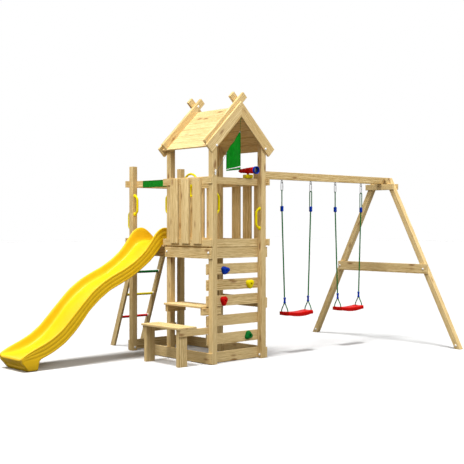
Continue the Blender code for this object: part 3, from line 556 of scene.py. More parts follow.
caps("caps_left_side", [(LEFT_FACE, y, BOLT_HIGH) for y in (0.045, 0.79)], (-1, 0, 0))
caps("caps_right_side", [(RIGHT_FACE, y, z) for y in MIDDLES for z in (BOLT_LOW, BOLT_HIGH)]
     + [(RIGHT_FACE, y, BOLT_MIDDLE) for y in MIDDLES[:2]], (1, 0, 0))
caps("caps_ladder_side", [(x, LADDER_FACE, z) for x in MIDDLES[:2] for z in (BOLT_LOW, BOLT_HIGH)], (0, 1, 0))
caps("caps_front_rafters", [(x, GABLE_FRONT, BOLT_RAFTER) for x in MIDDLES[:2]], (0, -1, 0))
caps("caps_roof_rear", [(0.419, 0.7447, BOLT_RIDGE)], (0, -1, 0))
caps("caps_roof_front", [(0.401, 0.0753, BOLT_RIDGE)], (0, 1, 0))
caps("caps_front_foot", [(0.7498, MIDDLES[0], BOLT_FOOT)], (-1, 0, 0))
caps("caps_rear_foot", [(MIDDLES[0], 1.4998, BOLT_FOOT)], (0, -1, 0))
caps("caps_rear_rafters", [(x, GABLE_REAR + RAFTER_THICK, BOLT_RAFTER) for x in MIDDLES[:2]], (0, 1, 0))

# The slide: one hollow moulding in yellow plastic, with rolled rims and three shallow lines down its sides.
# Its top end hooks over the deck. At the bottom it turns down into a boxed foot with a sunk front panel.
# Each line below is (x, z) from the corner: down the rim, the bed between the walls, and the underside.
RIM = [(-1.589, 0.274), (-1.465, 0.335), (-1.34, 0.426), (-1.213, 0.557),
       (-1.083, 0.691), (-0.951, 0.821), (-0.817, 0.913), (-0.681, 0.983), (-0.542, 1.043), (-0.401, 1.121),
       (-0.257, 1.231), (-0.155, 1.35), (-0.081, 1.458), (-0.006, 1.508), (0.054, 1.52), (0.114, 1.506),
       (0.191, 1.444), (0.235, 1.396)]
BED = [(-1.575, 0.172), (-1.456, 0.222), (-1.338, 0.294), (-1.22, 0.399),
       (-1.155, 0.472), (-1.028, 0.622), (-0.891, 0.744), (-0.751, 0.84), (-0.613, 0.903), (-0.478, 0.963),
       (-0.34, 1.048), (-0.2, 1.15), (-0.13, 1.215), (-0.04, 1.305), (0.04, 1.343), (0.236, 1.346)]
KEEL = [(-1.557, 0.131), (-1.436, 0.184), (-1.312, 0.258), (-1.187, 0.367),
        (-1.123, 0.438), (-0.994, 0.594), (-0.863, 0.708), (-0.728, 0.802), (-0.592, 0.863), (-0.454, 0.925),
        (-0.312, 1.012), (-0.169, 1.112), (-0.096, 1.18), (-0.024, 1.256), (0, 1.3112), (0.236, 1.3112)]
# The foot, from its front edge back to where those lines start, as (rim, bed, underside) at each station.
FOOT = [
    ((-1.834, 0.133), (-1.835, 0.119), (-1.757, 0.012)), ((-1.832, 0.149), (-1.833, 0.134), (-1.755, 0.003)),
    ((-1.824, 0.16), (-1.825, 0.143), (-1.748, 0.0)), ((-1.806, 0.172), (-1.808, 0.146), (-1.733, 0.0)),
    ((-1.77, 0.195), (-1.78, 0.147), (-1.705, 0.0)), ((-1.715, 0.221), (-1.725, 0.149), (-1.662, 0.0)),
    ((-1.668, 0.241), (-1.682, 0.153), (-1.641, 0.002)), ((-1.655, 0.247), (-1.67, 0.154), (-1.636, 0.02)),
    ((-1.64, 0.253), (-1.655, 0.157), (-1.622, 0.1)), ((-1.62, 0.261), (-1.625, 0.162), (-1.602, 0.118))]
LINE_DEEP = 0.004
STATIONS = 40
yellow_plastic = moulded("yellow moulding", (0.86, 0.535, 0.012), gloss=0.14)


def lengths(points):
    return [(b - a).length for a, b in zip(points, points[1:])]


def spaced(points, count):
    """The line through the points, as count points evenly spaced along it."""
    points = [Vector(p) for p in points]
    runs = lengths(points)
    made = []
    for i in range(count):
        left = sum(runs) * i / (count - 1)
        for a, b, run in zip(points, points[1:], runs):
            if left <= run + 1e-9:
                made.append(a.lerp(b, left / run))
                break
            left -= run
        else:
            made.append(points[-1])
    return made


def skinned(name, rings, material, body="tower", node=None, levels=1):
    """A closed skin through a row of rings with equal counts of points, rounded by subdivision."""
    bm = bmesh.new()
    rows = [[bm.verts.new(p) for p in ring] for ring in rings]
    joined(bm, rows)
    bm.faces.new(rows[0])
    bm.faces.new(rows[-1])
    bmesh.ops.recalc_face_normals(bm, faces=bm.faces)
    rounding = piece(name, bm, material, body, node).modifiers.new("rounding", "SUBSURF")
    rounding.levels = rounding.render_levels = levels


low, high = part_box("slide")
centre = (low.y + high.y) / 2 - CORNER.y
half = (high.y - low.y) / 2


def slide_ring(rim, bed, keel, side, deep):
    """The slide's section at one station. Its lines run down its sides between rim and side."""
    wall, outer = rim - bed, rim - side
    outline = [(w, bed.x, bed.y + lift * min(1, wall.length / 0.1))
               for w, lift in ((0, 0), (0.6 * half, 0), (half - 0.062, 0.002), (half - 0.042, 0.012),
                               (half - 0.034, 0.035))]
    for share, w in ((0.8, half - 0.029), (0.97, half - 0.024), (1.0, half - 0.014), (1.0, half - 0.004),
                     (0.98, half)):
        outline.append((w, *(bed + wall * share)))
    for share in (0.8, 0.52, 0.22):
        for past, sunk in ((0.05, 0), (0.02, deep), (-0.02, deep), (-0.05, 0)):
            outline.append((half - sunk, *(side + outer * (share + past))))
    outline += [(half, keel.x, keel.y + 0.012), (half - 0.01, keel.x, keel.y), (0.0, keel.x, keel.y)]
    outline += [(-w, x, z) for w, x, z in outline[-2:0:-1]]
    return [spot(x, centre + w, z) for w, x, z in outline]


rings = []
for number, (rim, bed, keel) in enumerate(FOOT):
    bed = Vector(bed)
    side = bed + Vector((0.012, -0.038))
    rings.append(slide_ring(Vector(rim), bed, Vector(keel), side, min(LINE_DEEP, 0.0009 * number)))
rings += [slide_ring(rim, bed, keel, keel, LINE_DEEP)
          for rim, bed, keel in zip(*(spaced(line, STATIONS) for line in (RIM, BED, KEEL)))]
inwards = Vector((0.83, 0, 0.55))
centroid = sum(rings[0], Vector()) / len(rings[0])
front = [[centroid.lerp(p, share) + inwards * sunk for p in rings[0]]
         for share, sunk in ((0.7, 0.012), (0.77, 0.012), (0.79, 0.001), (0.9, 0.0))]
crest = [a.lerp(b, 0.88) for a, b in zip(rings[-2], rings[-1])]
skinned("slide_moulding", [*front, *rings[:-1], crest, rings[-1]], yellow_plastic,
        node="slide")
BUTTON = [(-0.004, 0), (-0.004, 0.014), (0.004, 0.014), (0.006, 0.012), (0.0068, 0.006), (0.0068, 0)]
gathered("slide_foot_marks",
         [turned(BUTTON, centroid + inwards * 0.0085 + Vector((0, y, 0.004)), -inwards, oval=(1.7, 1))
          for y in (-0.085, 0, 0.085)], yellow_plastic)


# Climbing holds: solid resin grips, each bolted through its middle to a climbing board.
# They are three-sided, rounded over their whole face and flat at the back, and each has a bolt hole.
def around(middle, u, v, count):
    """Points on a ring round the middle. u and v are its half sizes, as two vectors."""
    return [middle + Vector(u) * math.cos(a) + Vector(v) * math.sin(a)
            for a in (math.tau * i / count for i in range(count))]


def hold(node, plastic, sizes, turn, hole):
    """A grip, sizes its half width and half height. turn is the way to its first corner, in degrees."""
    low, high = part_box(node)
    middle = (low + high) / 2
    bm = bmesh.new()
    turns = [math.tau * i / 36 for i in range(36)]
    rows = []
    for far, share in ((0.0, 0.97), (0.25, 1.0), (0.5, 0.97), (0.74, 0.86), (0.9, 0.66), (0.98, 0.4)):
        dent = 1 - 0.05 * math.sin(far * math.pi)
        reach = [(1 + 0.15 * math.cos(3 * (a - math.radians(turn)))) * share for a in turns]
        y = high.y - (high.y - low.y) * far
        rows.append([bm.verts.new((middle.x + sizes[0] * r * math.cos(a) * dent, y,
                                   middle.z + sizes[1] * r * math.sin(a))) for a, r in zip(turns, reach)])
    for radius, far in ((hole + 0.0015, 0.0012), (hole, 0.026)):
        centre = Vector((middle.x, low.y + far, middle.z))
        rows.append([bm.verts.new(p) for p in around(centre, (radius, 0, 0), (0, 0, radius), len(turns))])
    joined(bm, rows)
    bm.faces.new(rows[-1])
    bm.faces.new(rows[0])
    bmesh.ops.recalc_face_normals(bm, faces=bm.faces)
    piece(f"{node}_grip", bm, plastic, node=node, crisp=50)
    bolt = [(0.0, 0.0), (0.0, 0.0068), (0.005, 0.0068), (0.0062, 0.0056), (0.0062, 0.0036), (0.004, 0.003),
            (0.004, 0)]
    gathered(f"{node}_bolt", [turned(bolt, (middle.x, low.y + 0.0255, middle.z), (0, -1, 0))], screw_steel)


blue_plastic = moulded("blue moulding", (0.004, 0.038, 0.4))
hold("hold_blue", blue_plastic, (0.059, 0.044), 12, 0.009)
hold("hold_yellow", lemon_plastic, (0.056, 0.051), 30, 0.012)
hold("hold_red", red_plastic, (0.048, 0.053), 30, 0.009)
hold("hold_green", green_plastic, (0.054, 0.048), 100, 0.013)


# The hand bars: five yellow moulded bars with slanted ends, each on two round feet.
# Two screws beside the bar hold each foot to its post.
def rounded(points):
    """The line with its corners cut off twice, so that it bends softly."""
    points = [Vector(p) for p in points]
    for _ in range(2):
        cut = [q for a, b in zip(points, points[1:]) for q in (a.lerp(b, 0.25), a.lerp(b, 0.75))]
        points = [points[0], *cut[1:-1], points[-1]]
    return points


def swept(points, radius, closed=False):
    """A bar along a line. radius is a number, or gives one for a share of the line and a turn round the bar."""
    points = [Vector(p) for p in points]
    count = len(points)
    ahead = []
    for i, p in enumerate(points):
        after = points[(i + 1) % count] if closed or i < count - 1 else p
        before = points[i - 1] if closed or i else p
        ahead.append((after - before).normalized())
    side = ahead[0].orthogonal().normalized()
    turns = [math.tau * k / 14 for k in range(14)]
    size = radius if callable(radius) else lambda share, turn: radius
    bm = bmesh.new()
    rows = []
    for i, (p, way) in enumerate(zip(points, ahead)):
        side = (side - way * side.dot(way)).normalized()
        up = way.cross(side)
        rows.append([bm.verts.new(p + (side * math.cos(a) + up * math.sin(a)) * size(i / (count - 1), a))
                     for a in turns])
    if not closed:
        bm.faces.new(rows[0][::-1])
        bm.faces.new(rows[-1])
    joined(bm, rows)
    if closed:
        near = min(range(len(turns)), key=lambda k: (rows[0][k].co - rows[-1][0].co).length)
        joined(bm, [rows[-1], rows[0][near:] + rows[0][:near]])
    bmesh.ops.recalc_face_normals(bm, faces=bm.faces)
    return bm


HANDLE_FOOT = [(0.0002, 0), (0.0002, 0.0236), (0.0012, 0.0243), (0.0042, 0.024), (0.0075, 0.02),
               (0.0098, 0.0165), (0.012, 0.014), (0.015, 0.0134)]
HANDLE_PIN = [(0, 0.0048), (0.0014, 0.0044), (0.0016, 0.0024), (0.001, 0.0018), (0.001, 0)]
HANDLE_HALF, HANDLE_OUT, HANDLE_RADIUS = 0.113, 0.0525, 0.0134
for node, at, out in (("handle_slide_left", (MIDDLES[0], 2 * BAY - HAIR, 1.785), (0, -1, 0)),
                      ("handle_slide_right", (MIDDLES[0], BAY + POST + HAIR, 1.785), (0, 1, 0)),
                      ("handle_ladder_left", (MIDDLES[0], 2 * BAY + POST + HAIR, 1.597), (0, 1, 0)),
                      ("handle_front_left", (POST + HAIR, MIDDLES[0], 1.785), (1, 0, 0)),
                      ("handle_front_right", (BAY - HAIR, MIDDLES[0], 1.62), (-1, 0, 0))):
    at, out, up = spot(*at), Vector(out), Vector((0, 0, 1))
    line = [(0.004, HANDLE_HALF), (0.014, HANDLE_HALF), (0.0225, HANDLE_HALF - 0.007),
            (0.0465, HANDLE_HALF - 0.032), (HANDLE_OUT, HANDLE_HALF - 0.047), (HANDLE_OUT, 0)]
    line += [(u, -v) for u, v in line[-2::-1]]
    bar = swept(rounded([at + out * u + up * v for u, v in line]), HANDLE_RADIUS)
    ends = (HANDLE_HALF, -HANDLE_HALF)
    gathered(f"{node}_bar", [bar, *(turned(HANDLE_FOOT, at + up * v, out, 28) for v in ends)],
             lemon_plastic, node=node)
    gathered(f"{node}_screws", [turned(HANDLE_PIN, at + up * (v + s * 0.0192) + out * 0.0068, out)
                                for v in ends for s in (-1, 1)], screw_steel)


# The steering wheel: a yellow moulding on the right rail that turns on a stub shaft.
# Its rim has finger grips, its three spokes are slimmer in the middle, and a cap covers the shaft's end.
low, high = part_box("steering_wheel")
axle = Vector((spot(0.757, 0, 0).x, (low.y + high.y) / 2, high.z - 0.1545))
RIM_RADIUS, GRIPS = 0.14, 24
rim = swept(around(axle, (0, 0, RIM_RADIUS), (0, RIM_RADIUS, 0), 96),
            lambda share, turn: 0.0138 + 0.0007 * math.cos(share * math.tau * GRIPS), closed=True)
parts = [rim]
for degrees in (270, 30, 150):
    way = Vector((0, math.cos(math.radians(degrees)), math.sin(math.radians(degrees))))
    spoke = swept([axle + way * (0.03 + 0.108 * i / 10) for i in range(11)],
                  lambda share, turn: 0.0105 + 0.0045 * abs(2 * share - 1) ** 2)
    parts.append(spoke)
HUB = [(-0.018, 0), (-0.018, 0.025), (-0.0172, 0.032), (-0.012, 0.0408), (-0.01, 0.0418), (0.01, 0.0418),
       (0.0125, 0.0405), (0.018, 0.023), (0.0185, 0.0196), (0.0575, 0.0196), (0.058, 0.018), (0.063, 0.018),
       (0.063, 0)]
parts.append(turned(HUB, axle, (1, 0, 0), 36))
gathered("wheel_moulding", parts, lemon_plastic, body="wheel", node="steering_wheel")
WHEEL_CAP = [(0, 0.018), (0.001, 0.0184), (0.0034, 0.017), (0.0046, 0.012), (0.0049, 0)]
gathered("wheel_cap", [turned(WHEEL_CAP, axle - Vector((0.0176, 0, 0)), (-1, 0, 0), 28)], lemon_plastic,
         body="wheel")

# The telescope: a red tapered tube with a blue ring at its wide end. A lug under it tilts on a pin in a
# slotted yellow block, and the block turns on the front rail. A dark lens sits inside the ring.
low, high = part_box("telescope_base")
middle = (low + high) / 2
pivot = Vector((middle.x, middle.y, low.z + 0.0247))
tube = Vector((middle.x, middle.y, low.z + 0.088))
glass, face = surface("dark lens")
smoke = coloured(glass, glass.add("TexNoise", {"Scale": 45}),
                 (0, (0.008, 0.01, 0.014)), (1, (0.02, 0.024, 0.032)))
glass.feed(face, {"Base Color": smoke, "Roughness": 0.08, "Coat Weight": 0.6})


def brick(size, at, ease):
    """A moulded block with rounded edges."""
    bm = bmesh.new()
    bmesh.ops.create_cube(bm, size=1)
    bmesh.ops.scale(bm, verts=bm.verts, vec=size)
    bmesh.ops.translate(bm, verts=bm.verts, vec=at)
    bmesh.ops.bevel(bm, geom=bm.edges, offset=ease, segments=3, profile=0.6, affect="EDGES")
    return bm


BARREL = [
    (-0.124, 0.0), (-0.124, 0.0385), (-0.122, 0.0402), (-0.1165, 0.0398), (-0.082, 0.0368), (-0.08, 0.038),
    (-0.075, 0.0377), (-0.073, 0.037), (0.012, 0.0315), (0.014, 0.0327), (0.019, 0.0323), (0.021, 0.0309),
    (0.066, 0.0266), (0.068, 0.0277), (0.073, 0.0274), (0.075, 0.0258), (0.104, 0.0224), (0.1075, 0.0236),
    (0.109, 0.0244), (0.121, 0.0244), (0.1225, 0.0236), (0.1235, 0.018), (0.1255, 0.0162), (0.147, 0.0142),
    (0.149, 0.0128), (0.148, 0.01), (0.138, 0.009), (0.137, 0.0)]
EYE = both_ends([(-0.0078, 0), (-0.0078, 0.0112), (-0.007, 0.012)])
lug = brick((0.0156, 0.0232, 0.044), (pivot + tube) / 2 - Vector((0, 0, 0.004)), 0.001)
gathered("telescope_barrel", [turned(BARREL, tube, (0, 1, 0), 40), lug, turned(EYE, pivot, (1, 0, 0), 28)],
         red_plastic, body="telescope_tube", node="telescope")
HOOD = [(0.118, 0.0398), (0.12, 0.0415), (0.1225, 0.043), (0.1255, 0.0438), (0.1285, 0.043), (0.1315, 0.0438),
        (0.1345, 0.043), (0.1375, 0.044), (0.1475, 0.044), (0.1502, 0.0432), (0.151, 0.0415), (0.1502, 0.0388),
        (0.147, 0.037), (0.133, 0.035), (0.124, 0.034)]
gathered("telescope_hood", [turned(HOOD, tube, (0, -1, 0), 40)], blue_plastic, body="telescope_tube")
LENS = [(0.1235, 0.0365), (0.1245, 0.0362), (0.1262, 0.024), (0.1268, 0.0)]
gathered("telescope_lens", [turned(LENS, tube, (0, -1, 0), 32)], glass.owner, body="telescope_tube")
tall = high.z - low.z
block = [brick((0.1, 0.07, 0.009), (middle.x, middle.y, low.z + 0.0047), 0.002)]
block += [brick((0.0413, 0.07, tall - 0.0006), (middle.x + s * 0.02935, middle.y, low.z + tall / 2), 0.005)
           for s in (-1, 1)]
block += [brick((0.02, 0.0098, tall - 0.0006), (middle.x, middle.y + s * 0.0301, low.z + tall / 2), 0.002)
           for s in (-1, 1)]
gathered("telescope_block", block, lemon_plastic, body="telescope_mount",
         node="telescope_base")
BLOCK_PIN = [(0, 0.0065), (0.0008, 0.0068), (0.0024, 0.0058), (0.0028, 0.0)]
gathered("telescope_pins", [turned(BLOCK_PIN, pivot + Vector((s * 0.0498, 0, 0)), (s, 0, 0)) for s in (-1, 1)],
         screw_steel, body="telescope_mount")

# The swing beam: one square pine timber from the tower to the trestle, with four screwed-in steel eyes.
# A round plate sits between each eye and the wood under the beam.
low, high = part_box("swing_beam")
beam_low = CORNER.z + 2.085
BEAM_Y = CORNER.y + 0.1053
squared("swing_beam_timber", (low.x, low.y, beam_low), high, node="swing_beam", ease=0.004)
zinc = metal("zinc plate", (0.4, 0.41, 0.43), 0.38)
EYE_PLATE = [(0, 0.0), (0, 0.015), (0.0005, 0.0155), (0.0022, 0.0155), (0.003, 0.0145), (0.003, 0.0052)]
SHANK = both_ends([(-0.004, 0), (-0.004, 0.005)], 0.0105)
SWINGS = {"near": 1.442, "far": 2.402}
EYE_APART = 0.2525
eyes = []
for x in (CORNER.x + swing + s * EYE_APART for swing in SWINGS.values() for s in (-1, 1)):
    eye = Vector((x, BEAM_Y, CORNER.z + 2.06))
    eyes += [swept(around(eye, (0, 0, 0.014), (0, 0.014, 0), 28), 0.0039, closed=True),
             turned(SHANK, eye + Vector((0, 0, 0.0138)), (0, 0, 1)),
             turned(EYE_PLATE, (x, BEAM_Y, beam_low - 0.0002), (0, 0, -1), 24)]
gathered("beam_eyes", eyes, zinc)

# The trestle: two leaning pine legs sawn level on the ground, a short collar on each side of them under
# the beam, and a crossbar. The beam rests on the collars, and the legs run up past them to its sides.
LEG_SLOPE, LEG_TOP, LEG_STRIDE = 0.508, 2.165, 1.2
for word, s in (("front", -1), ("rear", 1)):
    foot = Vector((CORNER.x + 3.1, BEAM_Y + s * LEG_STRIDE, 0))
    up = Vector((0, -s * LEG_SLOPE, 1))
    timber(f"trestle_leg_{word}", foot - up * 0.06, foot + up * (LEG_TOP + 0.06), 0.0701, POST, (0, 1, 0),
           cuts=[((0, 0, 0), (0, 0, -1)), ((0, 0, LEG_TOP), (0, 0, 1))], ease=0.004)
low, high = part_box("trestle")
COLLAR = 0.0247
for word, x in (("front", low.x), ("back", high.x - COLLAR)):
    squared(f"trestle_collar_{word}", (x, CORNER.y - 0.115, beam_low - 0.0753),
            (x + COLLAR, CORNER.y + 0.347, beam_low - HAIR))
squared("trestle_crossbar", (low.x, CORNER.y - 0.655, 0.918), (low.x + COLLAR, CORNER.y + 0.835, 1.04),
        node="trestle")
caps("caps_trestle", [(3.04, 0.105 + s * 0.7, 0.98) for s in (-1, 1)], (-1, 0, 0))
caps("caps_trestle_back", [(high.x - CORNER.x, 0.105 + s * 0.14, 2.047) for s in (-1, 1)], (1, 0, 0))
caps("caps_trestle_feet", [(3.065, 0.105 + s * 1.177, 0.045) for s in (-1, 1)], (-1, 0, 0))


# The swings: at each side a steel snap hook, a rope loop in a blue length adjuster, the rope itself,
# a blue sleeve where it forks, and two ends that go down through the seat and are knotted under it.
def rope_finish(name, tint):
    """Twisted polyester rope or cord: fine fibres along the lay, dull with a slight sheen."""
    rope, face = surface(name)
    lay = rope.add("Mapping", {"Vector": on_piece(rope), "Scale": (900, 900, 130),
                               "Rotation": (math.radians(35), math.radians(20), 0)})
    fibre = noise(rope, lay, 1, 3)
    rope.feed(face, {"Base Color": coloured(rope, fibre, (0.25, shade(tint, 0.55)), (0.75, shade(tint, 1.25))),
                     "Roughness": ranged(rope, fibre, (0.62, 0.9)), "Sheen Weight": 0.03,
                     "Specular IOR Level": 0.06})
    bumped(rope, face, fibre, 0.5, 0.0006)
    return rope.owner


green_rope = rope_finish("green rope", (0.003, 0.16, 0.024))


def laid(points, radius, pitch):
    """A three-strand rope along a line: the lobes of its section turn once in each pitch."""
    points = [Vector(p) for p in points]
    turns = sum(lengths(points)) / pitch
    return swept(points, lambda share, turn: radius * (0.9 + 0.1 * math.cos(
        3 * (turn - math.tau * turns * share))))


def evenly(start, end, step):
    """Points from start to end, no further apart than the step."""
    start, end = Vector(start), Vector(end)
    count = max(2, math.ceil((end - start).length / step))
    return [start.lerp(end, i / count) for i in range(count + 1)]


def ringed(half_width, top, bottom, across, at):
    """A long closed loop: two straight sides and two half circles, standing in the plane of Z and across."""
    line = []
    for reach, z0, z1 in ((half_width, top, bottom), (-half_width, bottom, top)):
        line += [(reach * math.cos(a), z0 - reach + reach * math.sin(a))
                 for a in (math.pi * i / 10 for i in range(11))]
        line += [(-reach, z0 + (z1 - z0) * i / 8) for i in range(2, 7)]
    return [Vector(at) + Vector(across) * u + Vector((0, 0, v)) for u, v in line]


ADJUSTER = both_ends([(0, 0.019), (0.003, 0.0222), (0.009, 0.0238), (0.024, 0.024)], 0.065, [(0.0325, 0.0226)])
SLEEVE = both_ends([(0, 0.0095), (0.001, 0.0125), (0.005, 0.0155), (0.01, 0.0165), (0.015, 0.0158),
                    (0.02, 0.0128), (0.024, 0.012)], 0.072)
KNOT = [(-0.011, 0.0), (-0.01, 0.006), (-0.006, 0.0095), (0.0, 0.0108), (0.005, 0.0092), (0.008, 0.0055)]
GATE = (2.034, 2.026, 2.012, 1.998, 1.99)
FORK = ((0.003, 0.608), (0.009, 0.596), (0.047, 0.53), (0.052, 0.514), (0.052, 0.4755))
ROPE_Y = BEAM_Y - HAIR
ROPE, ROPE_END = 0.018, 0.014
SEAT_APART = 0.205
SEAT_TOP = 0.5
SEAT_ENDS = ((0.215, 0), (0.213, 0), (0.205, 0), (0.2, 1), (0.178, 1), (0.15, 1), (0.1, 1), (0.05, 1))


def seat_dip(x):
    """How far the seat's top sinks towards its middle."""
    return 0.014 * (1 - min(1, abs(x) / 0.19) ** 2)


for word, swing in SWINGS.items():
    body = f"swing_{word}"
    for hand, s in (("left", -1), ("right", 1)):
        node = f"{body}_rope_{hand}"
        top = Vector((CORNER.x + swing + s * EYE_APART, ROPE_Y, 0))
        end = Vector((CORNER.x + swing + s * SEAT_APART, ROPE_Y, 0))
        hook = swept(ringed(0.016, 2.0546, 1.952, (1, 0, 0), top), 0.0043, closed=True)
        gate = swept([top + Vector((0.016, 0, z)) for z in GATE],
                     lambda share, turn: 0.0052 if 0.2 < share < 0.8 else 0.0044)
        gathered(f"{node}_snap_hook", [hook, gate], zinc, body)
        ring = ringed(0.012, 1.9595, 1.722, (0.67, 0.74, 0) if s < 0 else (0.74, -0.67, 0), top)
        loop = swept(ring, lambda share, turn: 0.006 + 0.0004 * math.cos(3 * (turn - math.tau * 14 * share)),
                     closed=True)
        gathered(f"{node}_loop", [loop], green_rope, body)
        adjuster = turned(ADJUSTER, top + Vector((0, 0, 1.706)), (0, 0, 1), 24, oval=(0.68, 0.98))
        gathered(f"{node}_adjuster", [adjuster], blue_plastic, body)
        path = evenly(top + Vector((0, 0, 1.752)), end + Vector((0, 0, 0.602)), 0.006)
        rope = gathered(f"{node}_rope", [laid(path, ROPE / 2, 0.05)], green_rope, body, node)
        sleeve = gathered(f"{node}_sleeve", [turned(SLEEVE, end + Vector((0, 0, 0.6)), (0, 0, 1), 24)],
                          blue_plastic, body)
        for place, t in (("front", -1), ("rear", 1)):
            fork = rounded([end + Vector((0, t * y, z)) for y, z in FORK])
            path = [q for a, b in zip(fork, fork[1:]) for q in evenly(a, b, 0.005)[:-1]] + [fork[-1]]
            leg = gathered(f"{node}_end_{place}", [laid(path, ROPE_END / 2, 0.04)], green_rope, body)
            knot = gathered(f"{node}_knot_{place}", [turned(KNOT, path[-1], (0, 0, 1), 16)], green_rope, body)
    seat = []
    for x, share in (*((-x, share) for x, share in SEAT_ENDS), (0, 1), *SEAT_ENDS[::-1]):
        dip = seat_dip(x)
        edge = 0.002 if abs(x) > 0.214 else 0.0
        rim_z = -0.044 - 0.4 * dip
        floor_z = rim_z + 0.001 + 0.034 * share
        over = [(0.03, -0.003), (0.062, -0.001), (0.073, -0.0004 - edge / 2), (0.08 - edge, -0.006),
                (0.08 - edge, rim_z + 0.004), (0.079 - edge, rim_z + edge)]
        under = [(0.075, rim_z + edge), (0.073, floor_z - 0.001), (0.03, floor_z - 0.003)]
        outline = [(-y, z) for y, z in over[::-1]] + [(0.0, -0.0036)] + over + under
        outline += [(0.0, floor_z - 0.003)] + [(-y, z) for y, z in under[::-1]]
        seat.append([Vector((CORNER.x + swing + x, ROPE_Y + y, SEAT_TOP - dip + z)) for y, z in outline])
    skinned(f"{body}_seat_shell", seat, red_plastic, body, f"{body}_seat", levels=2)
    ribs = [brick((0.003, 0.148, 0.02), (CORNER.x + swing + x, BEAM_Y, SEAT_TOP - seat_dip(x) - 0.0215), 0.001)
            for x in (-0.14, -0.07, 0.0, 0.07, 0.14)]
    gathered(f"{body}_seat_ribs", ribs, red_plastic, body)


# The cloth: a green strip stretched along the rail over the slide, and a green flag in the front gable.
# Both are woven polyester with turned and stitched hems.
def woven(name, tint):
    """Plain woven cloth: threads both ways, faint slubs and a soft sheen."""
    weave, face = surface(name)
    where = on_piece(weave)
    threads = blended(weave, 0.5, *(weave.add("TexWave", {"Vector": where, "Scale": 230, "Distortion": 1.2,
                                                          "Detail": 1}, bands_direction=way).outputs["Fac"]
                                    for way in ("DIAGONAL", "Z")))
    slubs = blended(weave, 0.55, threads, noise(weave, where, 22, 6))
    weave.feed(face, {"Base Color": coloured(weave, slubs, (0.3, shade(tint, 0.62)), (0.72, shade(tint, 1.15))),
                      "Roughness": ranged(weave, slubs, (0.7, 0.92)), "Sheen Weight": 0.05,
                      "Specular IOR Level": 0.05})
    bumped(weave, face, threads, 0.45, 0.0005)
    return weave.owner


green_cloth = woven("green cloth", (0.003, 0.245, 0.01))
dark_cloth = woven("hem cloth", (0.003, 0.15, 0.009))
pale_cloth = woven("white tape", (0.78, 0.8, 0.76))


def cloth(name, place, wide, tall, material, thick=0.0009):
    """A sheet of wide by tall cells. place(u, w) gives the point at share u across and w down."""
    bm = bmesh.new()
    rows = [[bm.verts.new(place(u / wide, w / tall)) for u in range(wide + 1)] for w in range(tall + 1)]
    for a, b in zip(rows, rows[1:]):
        for i in range(wide):
            bm.faces.new((a[i], a[i + 1], b[i + 1], b[i]))
    made = piece(name, bm, material)
    weight = made.modifiers.new("cloth thickness", "SOLIDIFY")
    weight.thickness = thick
    weight.offset = 0
    return made


low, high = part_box("cloth_strip")
STRIP = (high.y - low.y - 0.008, high.z - low.z - 0.002)


def strip_point(u, w):
    """A point of the strip: it lies against the rail and stands off a little between its tacks."""
    off = 0.0012 * math.sin(u * math.tau * 3.5) ** 2 + 0.0008 * math.sin(w * math.pi) ** 2
    return Vector((high.x - 0.0007 - off, low.y + 0.004 + u * STRIP[0], high.z - 0.001 - w * STRIP[1]))


def sewn(name, place, off, across, down, wide, tall, material=dark_cloth, thick=0.0009):
    """A hem or tape on part of a cloth, between two shares across and two down, a hair off its face."""
    (u0, u1), (w0, w1) = across, down
    return cloth(name, lambda u, w: place(u0 + u * (u1 - u0), w0 + w * (w1 - w0)) + Vector(off), wide, tall,
                 material, thick)


strip = cloth("strip_cloth", strip_point, 84, 14, green_cloth)
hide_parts("cloth_strip")
hems = [sewn(f"strip_hem_{word}", strip_point, (-0.0008, 0, 0), *part)
        for word, *part in (("top", (0, 1), (0, 0.11), 84, 2), ("bottom", (0, 1), (0.89, 1), 84, 2),
                            ("front", (0, 0.025), (0, 1), 4, 14), ("rear", (0.975, 1), (0, 1), 4, 14))]

HOIST_X, FLY_X = 0.406, 0.187
HOIST_Z, FLY_Z = (2.612, 2.17), (2.346, 2.146)
FLAG_Y = -0.015


def flag_point(u, w):
    """A point of the flag: u runs from the hoist to the fly, w from the top edge to the bottom one."""
    top, bottom = (hoist + u * (fly - hoist) for hoist, fly in zip(HOIST_Z, FLY_Z))
    loose = min(1, 3 * u) * min(1, 3.5 * (1 - u * 0.9))
    fold = 0.0075 * math.sin(u * 10.5 + 1.2 * w) + 0.003 * math.sin(u * 21 - 2.0 * w + 0.7)
    return spot(HOIST_X + u * (FLY_X - HOIST_X), FLAG_Y + fold * loose, top + w * (bottom - top))


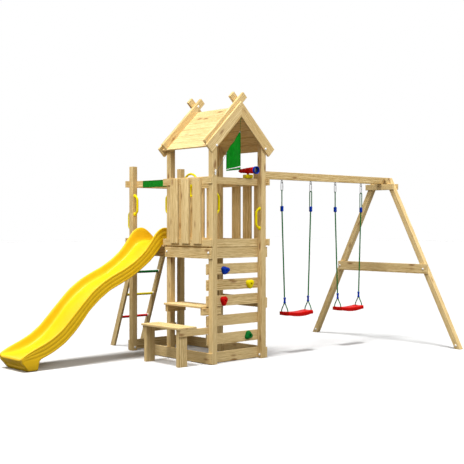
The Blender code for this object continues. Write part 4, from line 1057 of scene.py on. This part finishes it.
flag = cloth("flag_cloth", flag_point, 60, 80, green_cloth)
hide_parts("flag")
FLAG_TRIMS = (("tape", (0, 1), (0.905, 0.94), 60, 2), ("hem_top", (0, 1), (0, 0.022), 60, 2),
              ("hem_bottom", (0, 1), (0.978, 1), 60, 2), ("hem_hoist", (0, 0.05), (0.022, 0.905), 4, 72),
              ("hem_fly", (0.955, 1), (0.022, 0.905), 4, 72))
for word, side in (("front", -1), ("back", 1)):
    for trim, *part in FLAG_TRIMS:
        sewn(f"flag_{trim}_{word}", flag_point, (0, side * 0.0009, 0), *part,
                          pale_cloth if trim == "tape" else dark_cloth, 0.0008)
GROMMET = [(-0.0016, 0.003), (-0.0019, 0.005), (-0.0012, 0.0068), (0.0012, 0.0068), (0.0019, 0.005),
           (0.0016, 0.003)]
knot, tie = flag_point(0.032, 0.02), flag_point(0.968, 0.035)
gathered("flag_grommets", [turned(GROMMET, p, (0, 1, 0), 18) for p in (knot, tie)], zinc)
grey_cord = rope_finish("grey cord", (0.22, 0.23, 0.21))
CORD = 0.0044


def cord(name, path, material):
    """A thin laid cord of the flag."""
    gathered(name, [laid(path, CORD / 2, 0.012)], material)


apex = spot(0.409, FLAG_Y, RAFTER_LINE + RIDGE_X - 0.009)
cord("flag_halyard", evenly(knot + Vector((0, 0, -0.002)), apex, 0.004), green_rope)
CLEAT_Z = 2.1265
post_end = spot(0.035, FLAG_Y - 0.003, CLEAT_Z + 0.0015)
cord("flag_line", [post_end.lerp(tie, i / 24) - Vector((0, 0, 0.016 * math.sin(math.pi * i / 24)))
                   for i in range(25)], grey_cord)

# The cleat that the flag's line is wound on: a small white moulding screwed to the front left post.
# It has one horn up and one down, and the line goes round its waist three times.
CLEAT = both_ends([(-0.034, 0), (-0.033, 0.004), (-0.029, 0.006), (-0.014, 0.0066)], 0, [(0, 0.0064)])
STEM = [(0.0, 0.0), (0.0, 0.0066), (0.002, 0.0062), (0.012, 0.005), (0.014, 0.0)]
waist = spot(0.033, -0.0145, CLEAT_Z)
stems = [turned(STEM, spot(0.033, -0.0004, CLEAT_Z + z), (0, -1, 0), 16) for z in (-0.014, 0.014)]
gathered("flag_cleat", [turned(CLEAT, waist, (0, 0, 1)), *stems], white_plastic)
wraps = [around(waist + Vector((0, 0, z)), (0.0078, 0, 0), (0, 0.0074, 0), 20) for z in (-0.0045, 0, 0.0045)]
gathered("flag_line_turns", [swept(ring, 0.0021, closed=True) for ring in wraps], white_plastic)
